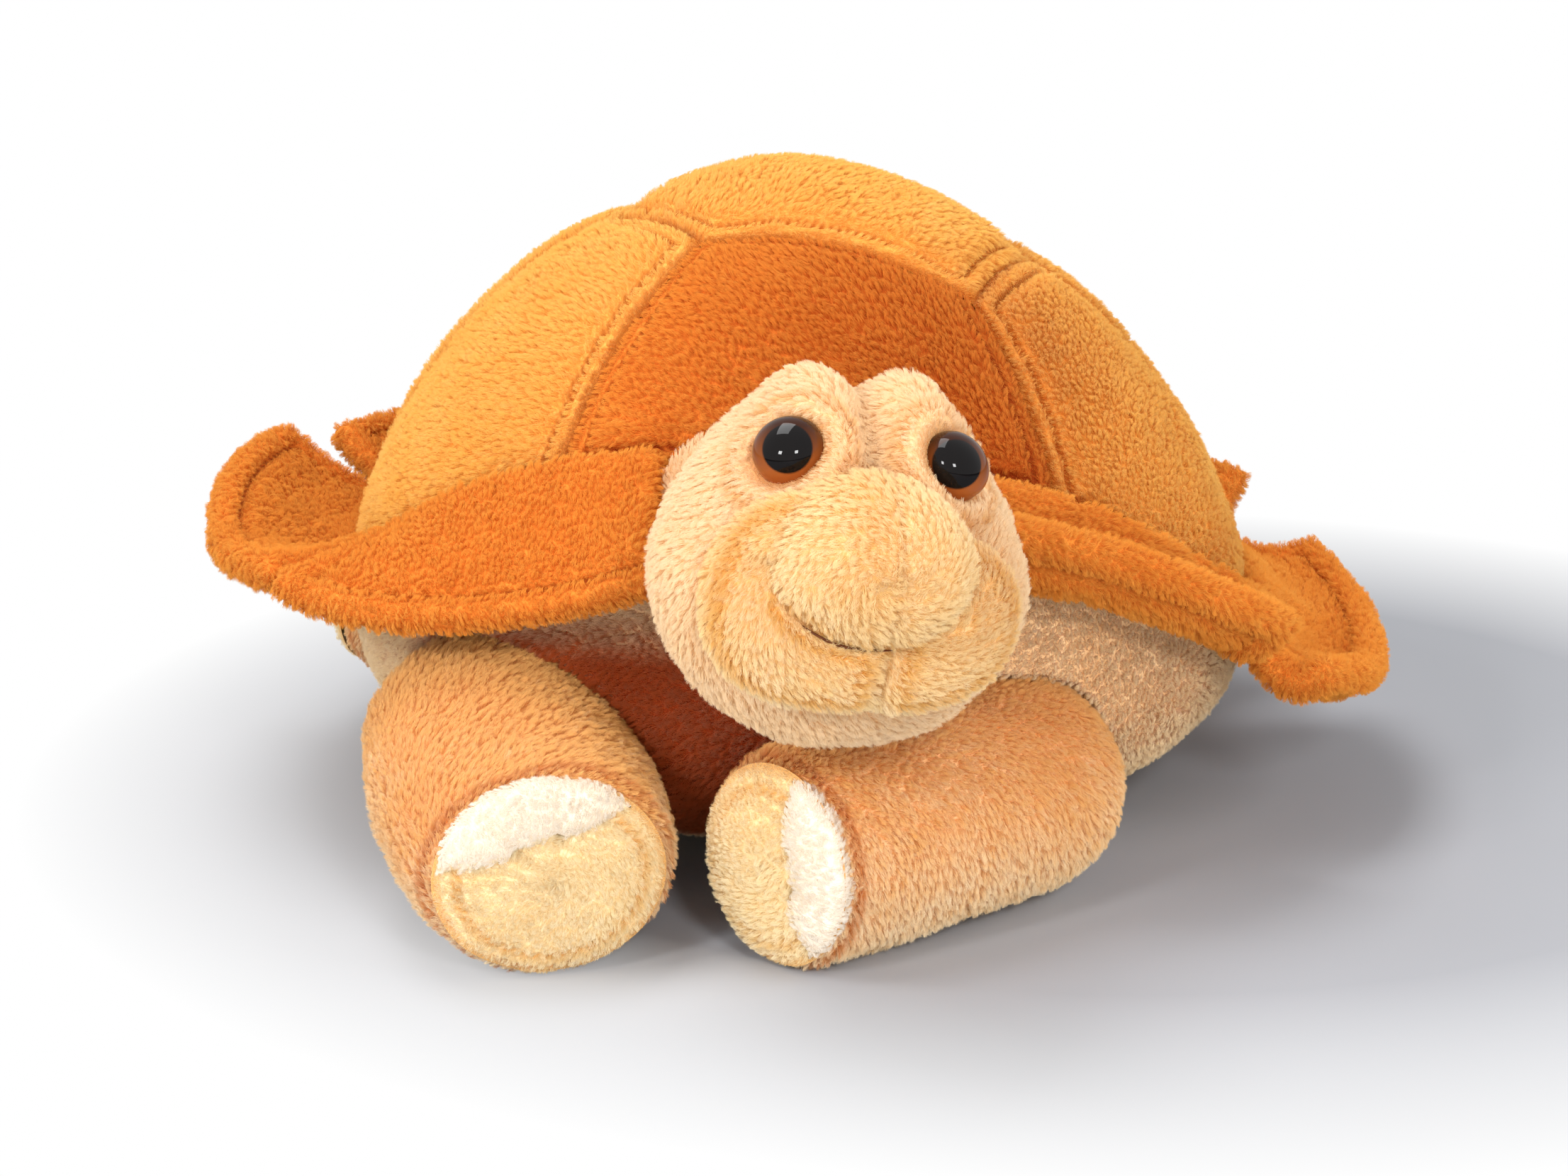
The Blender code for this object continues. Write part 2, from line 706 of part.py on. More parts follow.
def build_head(socket):
    opening = NECK_BALL_RADIUS + NECK_ROOM
    shape = head_place(0.0)

    def in_opening(direction):
        return (shape(direction) - NECK_PIVOT).length < opening

    skin = ball("head_cover", HEAD_STEPS, HEAD_RINGS, shape, in_opening)
    cover = add("head_cover", skin, "skin_plush")
    thicken(cover, PLUSH, -1.0)
    inner = head_place(PLUSH + DEEP_FILL_GAP)
    fill_mesh = ball("head_stuffing", HEAD_FILL_STEPS, HEAD_FILL_RINGS, inner)
    fill = add("head_stuffing", fill_mesh, "stuffing")
    cut(cover, socket)
    cut(fill, socket)
    around = head_place(-SOFT_GAP * 1.5)
    outer = add("head_room", ball("head_room", HEAD_STEPS, HEAD_RINGS, around))
    pieces = [cover, fill] + build_face(outer)
    deepest = -PLUSH - WASHER_GAP - WASHER_THICKNESS - EYE_FIT
    for name, side in (("eye_left", 1.0), ("eye_right", -1.0)):
        frame = eye_frame(side)
        end = -EYE_SHANK_LENGTH - EYE_FIT
        shank_room = round_room(name + "_shank_room", frame, EYE_SHANK_RADIUS, PLUSH, end)
        cut(cover, shank_room)
        cut(cover, round_room(name + "_seat_room", frame, EYE_RADIUS, EYE_DOME, 0.0))
        cut(fill, shank_room)
        cut(fill, round_room(name + "_washer_room", frame, WASHER_RADIUS, 0.0, deepest))
        pieces += build_eye(name, side)
    turn_on(pieces, "head_nod_axis", NECK_PIVOT)


# Legs

CAP_ANGLE = math.pi / LIMB_RINGS


class Leg:
    """Where a leg's shoulder and sole are, worked out from its entry in the table."""

    def __init__(self, entry):
        turn = math.radians(entry["heading"])
        x, y, z = entry["shoulder_shares"]
        self.entry = entry
        self.along = Vector((math.sin(turn), -math.cos(turn), 0.0))
        self.across = Vector((-self.along.y, self.along.x, 0.0))
        self.shoulder = Vector((x * SHELL_RADIUS, y * SHELL_RADIUS, z * EQUATOR_HEIGHT))
        self.length = entry["length"]
        self.sole_width = entry["half_width"] * entry["sole_shares"][0]
        self.sole_height = entry["half_height"] * entry["sole_shares"][1]
        self.sole_level = entry["foot_lift"] + self.sole_height

    def end(self, beyond):
        """The middle of the sole, a distance beyond the leg's open end."""
        point = self.shoulder + self.along * (self.length + beyond)
        point.z = self.sole_level
        return point

    def place(self, inset=0.0, room=False):
        """Round behind the shoulder, swelling along the leg. With room it sweeps the swing too."""
        entry = self.entry

        def place(direction):
            ring, way = way_round(direction)
            polar = math.atan2(ring, direction.z)
            full = 1.0
            if polar > math.pi / 2.0:
                distance = (entry["half_width"] - inset) * math.cos(polar)
                full = ring
            else:
                tube = (math.pi / 2.0 - polar) / (math.pi / 2.0 - CAP_ANGLE)
                distance = self.length * min(tube, 1.0)
                full = min(polar / CAP_ANGLE, 1.0)
            ahead = max(distance, 0.0)
            share = ahead / self.length
            swell = entry["swell"] * math.sin(math.pi * share)
            half_width = mix(entry["half_width"], self.sole_width, share) + swell - inset
            half_height = mix(entry["half_height"], self.sole_height, share) - inset
            aside = 0.0
            if room:
                inward, outward = (math.sin(math.radians(turn)) for turn in entry["swing"])
                half_width += ahead * (inward + outward) / 2.0 + SWING_ROOM * min(2.0 * share, 1.0)
                half_height *= 1.0 + SWING_LIFT_SHARE * share
                side = math.copysign(1.0, self.across.x * self.shoulder.x)
                aside = side * ahead * (outward - inward) / 2.0
            point = self.shoulder + self.along * distance
            point += self.across * (way.x * half_width * full + aside)
            point.z = mix(self.shoulder.z, self.sole_level, share) + way.y * half_height * full
            return point

        return place

    def pad_place(self, direction):
        """The sole pad: a shallow cushion with a flat back against the leg's open end."""
        ring, way = way_round(direction)
        full = ring**0.6
        point = self.end(SOFT_GAP + max(direction.z, 0.0) * PAD_BULGE)
        point += self.across * (way.x * self.sole_width * full)
        return point + Vector((0.0, 0.0, way.y * self.sole_height * full))


def toe_strip_mesh(name, leg, grow=0.0):
    """A plush roll along one edge of the sole."""
    middle = leg.end(SOFT_GAP + TOE_STRIP_RADIUS)
    curve = bpy.data.curves.new(name, "CURVE")
    curve.dimensions = "3D"
    curve.bevel_depth = TOE_STRIP_RADIUS + grow
    curve.bevel_resolution = 1
    curve.use_fill_caps = True
    line = curve.splines.new("POLY")
    line.points.add(STRIP_STEPS)
    for step in range(STRIP_STEPS + 1):
        turn = math.radians(leg.entry["toe_turn"] + TOE_STRIP_ARC * (step / STRIP_STEPS - 0.5))
        side = leg.across * (math.cos(turn) * leg.sole_width * TOE_STRIP_SHARE)
        rise = Vector((0.0, 0.0, math.sin(turn) * leg.sole_height * TOE_STRIP_SHARE))
        line.points[step].co = (*(middle + side + rise), 1.0)
    drawn = bpy.data.objects.new(name + "_line", curve)
    bpy.context.scene.collection.objects.link(drawn)
    seen = drawn.evaluated_get(bpy.context.evaluated_depsgraph_get())
    bm = bmesh.new()
    bm.from_mesh(bpy.data.meshes.new_from_object(seen))
    bmesh.ops.remove_doubles(bm, verts=bm.verts, dist=WELD)
    bpy.data.objects.remove(drawn)
    return mesh_from(name, bm)


def build_leg(name, leg):
    """One leg: cover, fill, toe strip and sole pad. Returns the room that it needs in the body."""

    def past_end(direction):
        return math.atan2(math.hypot(direction.x, direction.y), direction.z) < CAP_ANGLE * 0.9

    skin = ball(name + "_leg_cover", LIMB_STEPS, LIMB_RINGS, leg.place(), past_end)
    cover = add(name + "_leg_cover", skin, "skin_plush")
    thicken(cover, PLUSH, -1.0)
    inner = leg.place(PLUSH + FILL_GAP)
    fill_mesh = ball(name + "_leg_stuffing", LIMB_STEPS, LIMB_RINGS, inner)
    fill = add(name + "_leg_stuffing", fill_mesh, "stuffing")
    strip = add(name + "_toe_strip", toe_strip_mesh(name + "_toe_strip", leg), "toe_plush")
    cushion = ball(name + "_sole_pad", LIMB_STEPS, 8, leg.pad_place, lambda way: way.z < -0.01, True)
    pad = add(name + "_sole_pad", cushion, "face_plush")
    cut(pad, add(name + "_strip_room", toe_strip_mesh(name + "_strip_room", leg, SOFT_GAP)))
    turn_on([cover, fill, strip, pad], name + "_leg_axis", leg.shoulder)
    around = leg.place(-SOFT_GAP * 2.0, True)
    room_mesh = ball(name + "_leg_room", LIMB_STEPS * 2, LIMB_RINGS * 2, around)
    return add(name + "_leg_room", room_mesh)


# Rim flaps


def through(start, middle, end, share):
    """A smooth run of values that passes through three of them."""
    first = (1.0 - share) * (1.0 - 2.0 * share)
    last = share * (2.0 * share - 1.0)
    return [a * first + b * 4.0 * share * (1.0 - share) + c * last for a, b, c in zip(start, middle, end)]


def flap_place(flap):
    """A flap's middle surface: a curve from just off the seam to the edge."""

    def place(u, v):
        share = (u + 1.0) / 2.0
        angle = mix(*flap["seam"], share)
        slope = math.radians(mix(*flap["seam_slope"], share))
        rise = math.radians(mix(*flap["edge_slope"], share))
        pull = mix(*flap["pull_shares"], share) * FLAP_LENGTH
        latitude = seam_latitude(angle)
        seam = body_point(angle, latitude)
        level = compass(angle, 1.0, 0.0)
        aside = Vector((-level.y, level.x, 0.0))
        out, side, up = (value * FLAP_LENGTH for value in through(*flap["edge_shares"], share))
        edge = seam + level * out + aside * side + Vector((0.0, 0.0, up))
        normal = body_normal(angle, latitude)
        facing = Vector((0.0, 0.0, math.cos(slope))) - level * math.sin(slope)
        gap = FLAP_GAP + FLAP_ROOM * math.sin(math.pi * share) * abs(normal.z)
        root = seam + normal * (gap + FLAP_THICKNESS / 2.0 * abs(normal.dot(facing)))
        outward = Vector((edge.x - root.x, edge.y - root.y, 0.0)).normalized()
        leave = outward * math.cos(slope) + Vector((0.0, 0.0, math.sin(slope)))
        arrive = outward * math.cos(rise) + Vector((0.0, 0.0, math.sin(rise)))
        t = (v + 1.0) / 2.0
        point = root.lerp(edge, 3.0 * t**2 - 2.0 * t**3)
        point += leave * (pull * (t**3 - 2.0 * t**2 + t))
        return point + arrive * (pull * (t**3 - t**2))

    return place


def build_flap(name, flap):
    place = flap_place(flap)
    made = add(name + "_flap", sheet(name + "_flap", FLAP_COLUMNS, FLAP_ROWS, place), "shell_plush")
    thicken(made, FLAP_THICKNESS, 0.0)
    turn_on([made], name + "_flap_axis", (place(-1.0, -1.0) + place(1.0, -1.0)) / 2.0)


# Tail


def build_tail():
    """A short cone whose round root touches the belly under the rim."""
    drop = (EQUATOR_HEIGHT - TAIL_HEIGHT) / (EQUATOR_HEIGHT + STAND_DEPTH)
    latitude = -math.degrees(math.asin(drop ** (BELLY_ROUNDNESS / 2.0)))
    out = body_normal(180.0, latitude)
    pivot = body_point(180.0, latitude) + out * (SOFT_GAP + TAIL_RADIUS)

    def place(direction):
        far = max(direction.y, 0.0)
        narrow = TAIL_RADIUS * mix(1.0, TAIL_TIP_SHARE, far)
        along = direction.y * TAIL_RADIUS + far * TAIL_LENGTH
        side = Vector((direction.x * narrow, along, direction.z * narrow - far * TAIL_DROP))
        return pivot + side

    turn_on([add("tail", ball("tail", 10, 8, place), "skin_plush")], "tail_axis", pivot)


def main():
    collar, socket = build_neck()
    belly, stuffing = build_torso(socket, collar)
    build_head(socket)
    for name, entry in LEGS.items():
        room = build_leg(name, Leg(entry))
        cut(belly, room)
        cut(stuffing, room)
    for name, flap in FLAPS.items():
        build_flap(name, flap)
    build_tail()


main()
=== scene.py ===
# %% [markdown]
# # A plush turtle
# The real toy is short-pile plush, sewn inside out, turned and filled: a padded shell of seven
# panels, a soft belly, six bendable rim flaps, a big head with a round muzzle, four legs and a
# tail. This notebook sews the same pieces as fine surfaces over the plain solids of the packed
# model. First it loads that model, whose bodies the pieces will ride on.

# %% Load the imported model
import math

import bmesh
import bpy
import numpy as np
from mathutils import Matrix, Vector


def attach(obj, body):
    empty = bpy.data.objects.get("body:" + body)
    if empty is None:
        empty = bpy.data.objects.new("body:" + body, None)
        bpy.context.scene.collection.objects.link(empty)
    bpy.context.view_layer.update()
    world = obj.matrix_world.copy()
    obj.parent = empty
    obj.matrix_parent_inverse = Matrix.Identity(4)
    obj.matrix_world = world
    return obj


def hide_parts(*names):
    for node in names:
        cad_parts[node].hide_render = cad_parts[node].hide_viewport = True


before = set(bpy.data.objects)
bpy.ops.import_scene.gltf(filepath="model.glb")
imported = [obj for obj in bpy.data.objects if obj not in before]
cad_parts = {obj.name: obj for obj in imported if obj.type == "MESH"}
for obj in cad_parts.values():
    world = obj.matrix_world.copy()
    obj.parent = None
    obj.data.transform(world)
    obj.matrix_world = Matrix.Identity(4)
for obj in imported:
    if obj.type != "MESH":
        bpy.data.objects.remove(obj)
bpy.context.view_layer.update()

TURN = 2.0 * math.pi

# %% [markdown]
# ## A way to write shader sums
# A material is a graph of nodes, and long graphs are hard to read as code. Two small classes
# help. `Flow` wraps a socket, so that `1 - streak * 0.5` adds the Math nodes by itself, and
# `Finish` makes any other node from its kind, its settings and its inputs.

# %% Flow: a socket that can be used in sums
class Flow:
    """A shader value that takes part in sums and products."""

    def __init__(self, finish, socket):
        self.finish = finish
        self.socket = socket

    def maths(self, operation, *values):
        return self.finish.node("ShaderNodeMath", {"operation": operation}, dict(enumerate(values)))

    def __add__(self, other):
        return self.maths("ADD", self, other)

    def __sub__(self, other):
        return self.maths("SUBTRACT", self, other)

    def __rsub__(self, other):
        return self.maths("SUBTRACT", other, self)

    def __mul__(self, other):
        return self.maths("MULTIPLY", self, other)

    def __truediv__(self, other):
        return self.maths("DIVIDE", self, other)

    def above(self, low):
        return self.maths("MAXIMUM", self, low)

    def below(self, high):
        return self.maths("MINIMUM", self, high)

    def held(self):
        """Kept between 0 and 1."""
        return self.above(0.0).below(1.0)

    def sine(self):
        return self.maths("SINE", self)


# %% Finish: one material and its nodes
class Finish:
    """A material whose nodes are made from their kind, settings and inputs."""

    def __init__(self, name):
        self.material = bpy.data.materials.new(name)
        self.material.use_nodes = True
        self.tree = self.material.node_tree
        self.shader = self.tree.nodes["Principled BSDF"]

    def feed(self, socket, value):
        if isinstance(value, Flow):
            self.tree.links.new(value.socket, socket)
        else:
            socket.default_value = value

    def node(self, kind, settings=None, inputs=None, output=0):
        made = self.tree.nodes.new(kind)
        for key, value in (settings or {}).items():
            setattr(made, key, value)
        for key, value in (inputs or {}).items():
            self.feed(made.inputs[key], value)
        return Flow(self, made.outputs[output])

    def mix(self, share, first, second):
        """A colour between two colours."""
        inputs = {0: share, 6: first, 7: second}
        return self.node("ShaderNodeMix", {"data_type": "RGBA"}, inputs, 2)

    def vectors(self, operation, *values, output=0):
        settings = {"operation": operation}
        return self.node("ShaderNodeVectorMath", settings, dict(enumerate(values)), output)

    def place(self):
        """Where on the piece a point is, in metres."""
        return self.node("ShaderNodeTexCoord", output=3)

    def part(self, vector, number):
        return self.node("ShaderNodeSeparateXYZ", None, {0: vector}, number)

    def noise(self, vector, scale, detail=2.0, distortion=0.0):
        inputs = {"Vector": vector, "Scale": scale, "Detail": detail, "Distortion": distortion}
        return self.node("ShaderNodeTexNoise", None, inputs)

    def put(self, **sockets):
        """Sets the shader's own sockets; a name's _ stands for a space."""
        for key, value in sockets.items():
            self.feed(self.shader.inputs[key.replace("_", " ")], value)

    def blend(self, share, other):
        """Ends in the shader with a share of another one."""
        own = Flow(self, self.shader.outputs[0])
        both = self.node("ShaderNodeMixShader", None, {0: share, 1: own, 2: other})
        self.feed(self.tree.nodes["Material Output"].inputs["Surface"], both)


# %% [markdown]
# ## The pile
# Short plush is a knitted backing with cut fibres about 2 mm long. From a step away it shows
# three things: fine streaks along the way the pile lies, soft patches where a hand has brushed
# it another way, and dark lines where a seam or a row of topstitching parts it. All three come
# from noise and from a stored distance to the nearest seam. The sheen is what lights its edges.

# %% Pile on the cloth, and its strands
TOPSTITCH = 0.0056
STITCH_WIDTH = 0.0016
STITCH_STEP = 0.0034
SEAM_WIDTH = 0.0022
PALE_BELOW = 0.036
BUMP = 0.0011
LIT_THROUGH = 0.3
UV = "cloth"
# The seams map holds each point's distance to a seam and its shade_and_tone share, mostly painted
# shade.
SEAMS = "seams"


def colour(r, g, b):
    return (r, g, b, 1.0)


def pile_tone(finish):
    """Patches that a hand has brushed, and streaks along the pile's lie, each from 0 to 1."""
    cloth = finish.node("ShaderNodeUVMap", {"uv_map": UV})
    patch = finish.noise(finish.place(), 38.0, 2.0, 0.6)
    streak = finish.noise(finish.vectors("MULTIPLY", cloth, (900.0, 240.0, 1.0)), 1.0, 3.0, 0.9)
    return patch, streak


def shaded(finish, tone, shade):
    """Some cloth is painted paler low down and darker higher up, by shade for each metre of height:
    painted shade, darkest near a leg's shoulder under the rim.
    """
    if shade:
        tone = tone + (PALE_BELOW - finish.part(finish.place(), 2)) * shade
    return tone.held()


def parting(finish):
    """How far the tone goes to the deep one: where the pile parts at a seam or a dashed topstitch,
    and by its shade_and_tone share, mostly painted shade.
    """
    seams = finish.node("ShaderNodeUVMap", {"uv_map": SEAMS})
    edge, shade_and_tone = finish.part(seams, 0), finish.part(seams, 1)
    cloth = finish.node("ShaderNodeUVMap", {"uv_map": UV})
    along = finish.vectors("DOT_PRODUCT", cloth, (1.0, 1.0, 0.0), output=1)
    dash = (along * (TURN / STITCH_STEP)).sine()
    off = (edge - TOPSTITCH) / STITCH_WIDTH
    stitch = (1 - off * off).above(0.0) * (dash * 0.35 + 0.65)
    seam = (1.2 - edge / SEAM_WIDTH).above(0.0)
    return (stitch * 1.1 + seam + shade_and_tone).below(1.0), stitch + seam


def pile_finish(name, deep, low, high, shade):
    """Plush seen as a surface: low and high are its two tones, deep its seams."""
    finish = Finish(name)
    patch, streak = pile_tone(finish)
    grain = finish.noise(finish.place(), 1300.0, 1.0)
    parted, line = parting(finish)
    tone = (patch - 0.5) * 1.1 + (streak - 0.5) * 1.5 + (grain - 0.5) * 0.6 + 0.5
    cloth = finish.mix(shaded(finish, tone, shade), low, high)
    cloth = finish.mix(parted, cloth, deep)
    height = streak * 0.7 + grain * 0.3 - line.below(1.0) * 0.8
    bump = finish.node("ShaderNodeBump", None, {"Strength": 0.75, "Distance": BUMP, "Height": height})
    finish.put(Base_Color=cloth, Normal=bump, Roughness=0.9, Specular_IOR_Level=0.15)
    finish.put(Sheen_Weight=0.35, Sheen_Roughness=0.5, Sheen_Tint=high)
    return finish.material


def fibre_tone(tone):
    """A fibre's own colour: pile shades itself, so it looks deeper than its fibres are."""
    return tuple(part / (0.4 + 0.6 * part) for part in tone)


def strand_finish(name, deep, low, high, shade):
    """The cut fibres: darker at the root, paler at the tip, and lit through."""
    finish = Finish(name)
    patch, streak = pile_tone(finish)
    along = finish.node("ShaderNodeHairInfo", output=1)
    chance = finish.node("ShaderNodeHairInfo", output=4)
    parted, _ = parting(finish)
    tone = (patch - 0.5) * 1.0 + (streak - 0.5) * 2.0 + (chance - 0.5) * 0.5 + 0.5
    fibre = finish.mix(shaded(finish, tone, shade), fibre_tone(low), fibre_tone(high))
    # Painted shade among the fibres: each fibre goes towards the deep tone near its root.
    fibre = finish.mix((parted + (0.7 - along * 1.1).above(0.0)).below(1.0), fibre, fibre_tone(deep))
    finish.put(Base_Color=fibre, Roughness=0.7, Specular_IOR_Level=0.2)
    through = finish.node("ShaderNodeBsdfTranslucent", None, {"Color": fibre_tone(high)})
    finish.blend(LIT_THROUGH, through)
    return finish.material


# Each kind's tone at its seams, its low and its high tone, and how much paler it gets low down, which
# is painted shade on the legs.
PLUSH_TONES = {
    "shell": ((0.46, 0.105, 0.011), (0.8, 0.32, 0.05), (0.92, 0.48, 0.12), 0.0),
    # The front panel's plush is the shell's own cloth given darker tones: painted shade, as it faces
    # away from the lamps.
    "front": ((0.32, 0.045, 0.005), (0.67, 0.155, 0.018), (0.84, 0.28, 0.041), 0.0),
    "flap": ((0.36, 0.06, 0.008), (0.68, 0.175, 0.021), (0.86, 0.32, 0.05), 0.0),
    "skin": ((0.66, 0.3, 0.1), (0.9, 0.53, 0.255), (0.96, 0.69, 0.42), 0.0),
    # The belly's very dark seam tone is also its painted shade between the front legs.
    "belly": ((0.22, 0.025, 0.003), (0.91, 0.56, 0.26), (0.97, 0.73, 0.43), 0.0),
    "limb": ((0.42, 0.1, 0.02), (0.8, 0.31, 0.078), (0.97, 0.7, 0.39), 19.0),
    "face": ((0.66, 0.28, 0.06), (0.91, 0.56, 0.22), (0.97, 0.75, 0.46), 0.0),
    "pad": ((0.78, 0.42, 0.14), (0.94, 0.67, 0.32), (0.98, 0.83, 0.56), 0.0),
    "toe": ((0.74, 0.52, 0.36), (0.9, 0.76, 0.58), (0.95, 0.86, 0.74), 0.0),
}
PILES = {}
for kind, (*tones, shade) in PLUSH_TONES.items():
    look = (*(colour(*tone) for tone in tones), shade)
    PILES[kind] = (pile_finish(kind + "_pile", *look), strand_finish(kind + "_strands", *look))
print(len(PILES), "kinds of plush")

# %% [markdown]
# ## Sewing helpers
# Every piece of cloth here starts as a flat grid whose points run from 0 to 1 both ways. A
# formula bends it into shape, and a second one raises or lowers each point along the cloth's
# own direction: puffed panels, pulled seams, creases. This is quick enough for a hundred
# thousand points, because each formula works on whole arrays at once.

# %% Smooth random hills
PRIMES = (73856093, 19349663, 83492791)


def cloudy(points, size, seed):
    """Smooth random hills from -1 to 1, about size metres apart."""
    spot = points / size + seed * 17.13
    cell = np.floor(spot).astype(np.int64)
    part = spot - cell
    part = part * part * (3.0 - 2.0 * part)
    total = 0.0
    for corner in range(8):
        step = np.array([corner & 1, corner >> 1 & 1, corner >> 2 & 1])
        x, y, z = ((cell + step) * PRIMES).T
        mixed = x ^ y ^ z
        mixed = ((mixed ^ mixed >> 13) * 1274126177 & 0x7FFFFFFF) % 10007
        share = np.where(step, part, 1.0 - part).prod(axis=1)
        total = total + share * (mixed / 5003.5 - 1.0)
    return total


def stack(*parts):
    return np.stack(np.broadcast_arrays(*parts), axis=-1)


def mix(low, high, share):
    return low + (high - low) * share


def hill(distance, width):
    """1 at no distance, falling off smoothly over about width."""
    return np.exp(-((distance / width) ** 2))


def held(share):
    """Kept between 0 and 1."""
    return np.clip(share, 0.0, 1.0)


def span(first, second):
    return np.linalg.norm(first - second, axis=1)


def unit(ways, least=0.0):
    return ways / (np.linalg.norm(ways, axis=1)[:, None] + least)


def globe(u, v):
    """Points of a ball of radius 1, from its front (v = 0) to its back."""
    turn, away = TURN * u, TURN / 2.0 * v
    ring = np.sin(away)
    return stack(np.cos(turn) * ring, -np.cos(away), np.sin(turn) * ring)


def to_end(length):
    """For sew's edge: the distance to a seam at the cloth's far end (v = 1)."""
    return lambda u, v: (1.0 - v) * length


def soft(*hills, pull=0.0, width=1.0):
    """For sew's relief: hills (height, size, seed), pulled in at a seam."""

    def relief(v, points, distance):
        rise = sum(height * cloudy(points, size, seed) for height, size, seed in hills)
        return rise - pull * hill(distance, width)

    return relief


def points_of(mesh):
    points = np.empty(len(mesh.vertices) * 3)
    mesh.vertices.foreach_get("co", points)
    return points.reshape(-1, 3)


def placed(name, data):
    """Makes an object of its data and puts it in the scene."""
    item = bpy.data.objects.new(name, data)
    bpy.context.scene.collection.objects.link(item)
    return item


def shown(bm, name, ending=""):
    mesh = bpy.data.meshes.new(name)
    bm.to_mesh(mesh)
    bm.free()
    return placed(name + ending, mesh)


# %% Sew one piece
NAP = 0.0006
TABLE_GAP = 0.0004
FAR = 0.05


def sew(name, columns, rows, place, inside, relief=None, size=(0.1, 0.1), edge=None, shade_and_tone=None):
    """A piece of cloth: a grid bent by place(u, v), then raised by its relief.

    The cloth itself lies a nap's depth under the form, as its pile stands on it. edge gives each
    point's distance to a seam, and shade_and_tone how far its tone goes to the deep one, which is
    painted shade on the shell and the chest.
    """
    bm = bmesh.new()
    bm.loops.layers.uv.new(UV)
    bmesh.ops.create_grid(bm, x_segments=columns, y_segments=rows, size=1.0, calc_uvs=True)
    piece = shown(bm, name, "_plush")
    mesh = piece.data
    u, v = (points_of(mesh)[:, :2].T + 1.0) / 2.0
    points = place(u, v)
    step = 0.002
    safe = np.clip(v, 2.0 * step, 1.0 - 2.0 * step)
    along = place(u + step, safe) - place(u - step, safe)
    up = place(u, safe + step) - place(u, safe - step)
    normal = unit(np.cross(along, up), 1e-12)
    facing = 1.0
    if inside is not None and ((points - inside) * normal).sum() < 0.0:
        facing = -1.0
    distance = np.full(len(u), FAR) if edge is None else edge(u, v)
    if relief is not None:
        rise = relief(v, points, distance) - NAP
        points = points + normal * (facing * rise)[:, None]
    points[:, 2] = np.maximum(points[:, 2], TABLE_GAP)
    mesh.vertices.foreach_set("co", points.ravel())
    loops = np.empty(len(mesh.loops), dtype=np.int32)
    mesh.loops.foreach_get("vertex_index", loops)
    cloth = np.stack((u[loops] * size[0], v[loops] * size[1]), axis=1)
    mesh.uv_layers[UV].data.foreach_set("uv", cloth.ravel())
    depth = np.zeros(len(u)) if shade_and_tone is None else held(shade_and_tone(points))
    seams = np.stack((distance[loops], depth[loops]), axis=1)
    mesh.uv_layers.new(name=SEAMS).data.foreach_set("uv", seams.ravel())
    mesh.attributes.new("edge", "FLOAT", "POINT").data.foreach_set("value", distance)
    if facing < 0.0:
        mesh.flip_normals()
    bm = bmesh.new()
    bm.from_mesh(mesh)
    bmesh.ops.remove_doubles(bm, verts=bm.verts, dist=0.000002)
    bm.to_mesh(mesh)
    bm.free()
    mesh.shade_smooth()
    return piece


# %% Dress one piece in plush
FIBRES = 9.0e6
LOCK = 20
STEPS = 20
PILE = dict(hair_step=3, tangent_phase=-0.5, render_step=2, tip_radius=0.35, radius_scale=0.0001)
PILE |= dict(child_type="INTERPOLATED", child_percent=0, rendered_child_count=LOCK, clump_factor=0.75)
PILE |= dict(roughness_1=0.0006, roughness_1_size=0.004, roughness_endpoint=0.0004)
PILE |= dict(roughness_2=0.0006, roughness_2_size=0.002)


def dress(piece, kind, body, nodes, length=0.002, comb=0.9, parted=False):
    """Gives a piece its plush, its pile, its body and the solids that it stands for."""
    mesh = piece.data
    for finish in PILES[kind]:
        mesh.materials.append(finish)
    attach(piece, body)
    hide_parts(*nodes)
    grow_pile(piece, length, comb, parted)
    print(piece.name, len(mesh.vertices), "points")


def grow_pile(piece, length, comb, parted):
    """Cut fibres over the whole piece, in locks, combed along its rows and short at seams."""
    mesh = piece.data
    distance = np.empty(len(mesh.vertices))
    mesh.attributes["edge"].data.foreach_get("value", distance)
    share = 1.0 - 0.75 * hill(distance, 0.0024)
    if parted:
        share -= hill(distance - TOPSTITCH, STITCH_WIDTH)
    share = held(share)
    group = piece.vertex_groups.new(name="pile")
    for step in range(STEPS + 1):
        weight = step / STEPS
        chosen = np.nonzero(np.abs(share - weight) <= 0.502 / STEPS)[0]
        if len(chosen):
            group.add(chosen.tolist(), weight, "REPLACE")
    area = sum(face.area for face in mesh.polygons)
    modifier = piece.modifiers.new("pile", "PARTICLE_SYSTEM")
    system = modifier.particle_system
    system.seed = len(piece.name) * 7 + len(mesh.vertices) % 97
    system.vertex_group_length = "pile"
    pile = system.settings
    pile.type = "HAIR"
    pile.use_advanced_hair = True
    pile.count = int(area * FIBRES / LOCK)
    pile.hair_length = length
    pile.normal_factor = speed = length / 4.0
    pile.tangent_factor = speed * comb
    pile.factor_random = speed * 0.28
    for key, value in PILE.items():
        setattr(pile, key, value)
    pile.material_slot = mesh.materials[1].name


# %% [markdown]
# ## The body's form
# The body is a low dome on a rounder belly. Its stuffing leans to the turtle's left, so the
# right side stands higher. `body_point` gives the skin at a compass angle and a latitude; the
# rim seam between shell and belly runs at latitude nought and arches up over the neck.

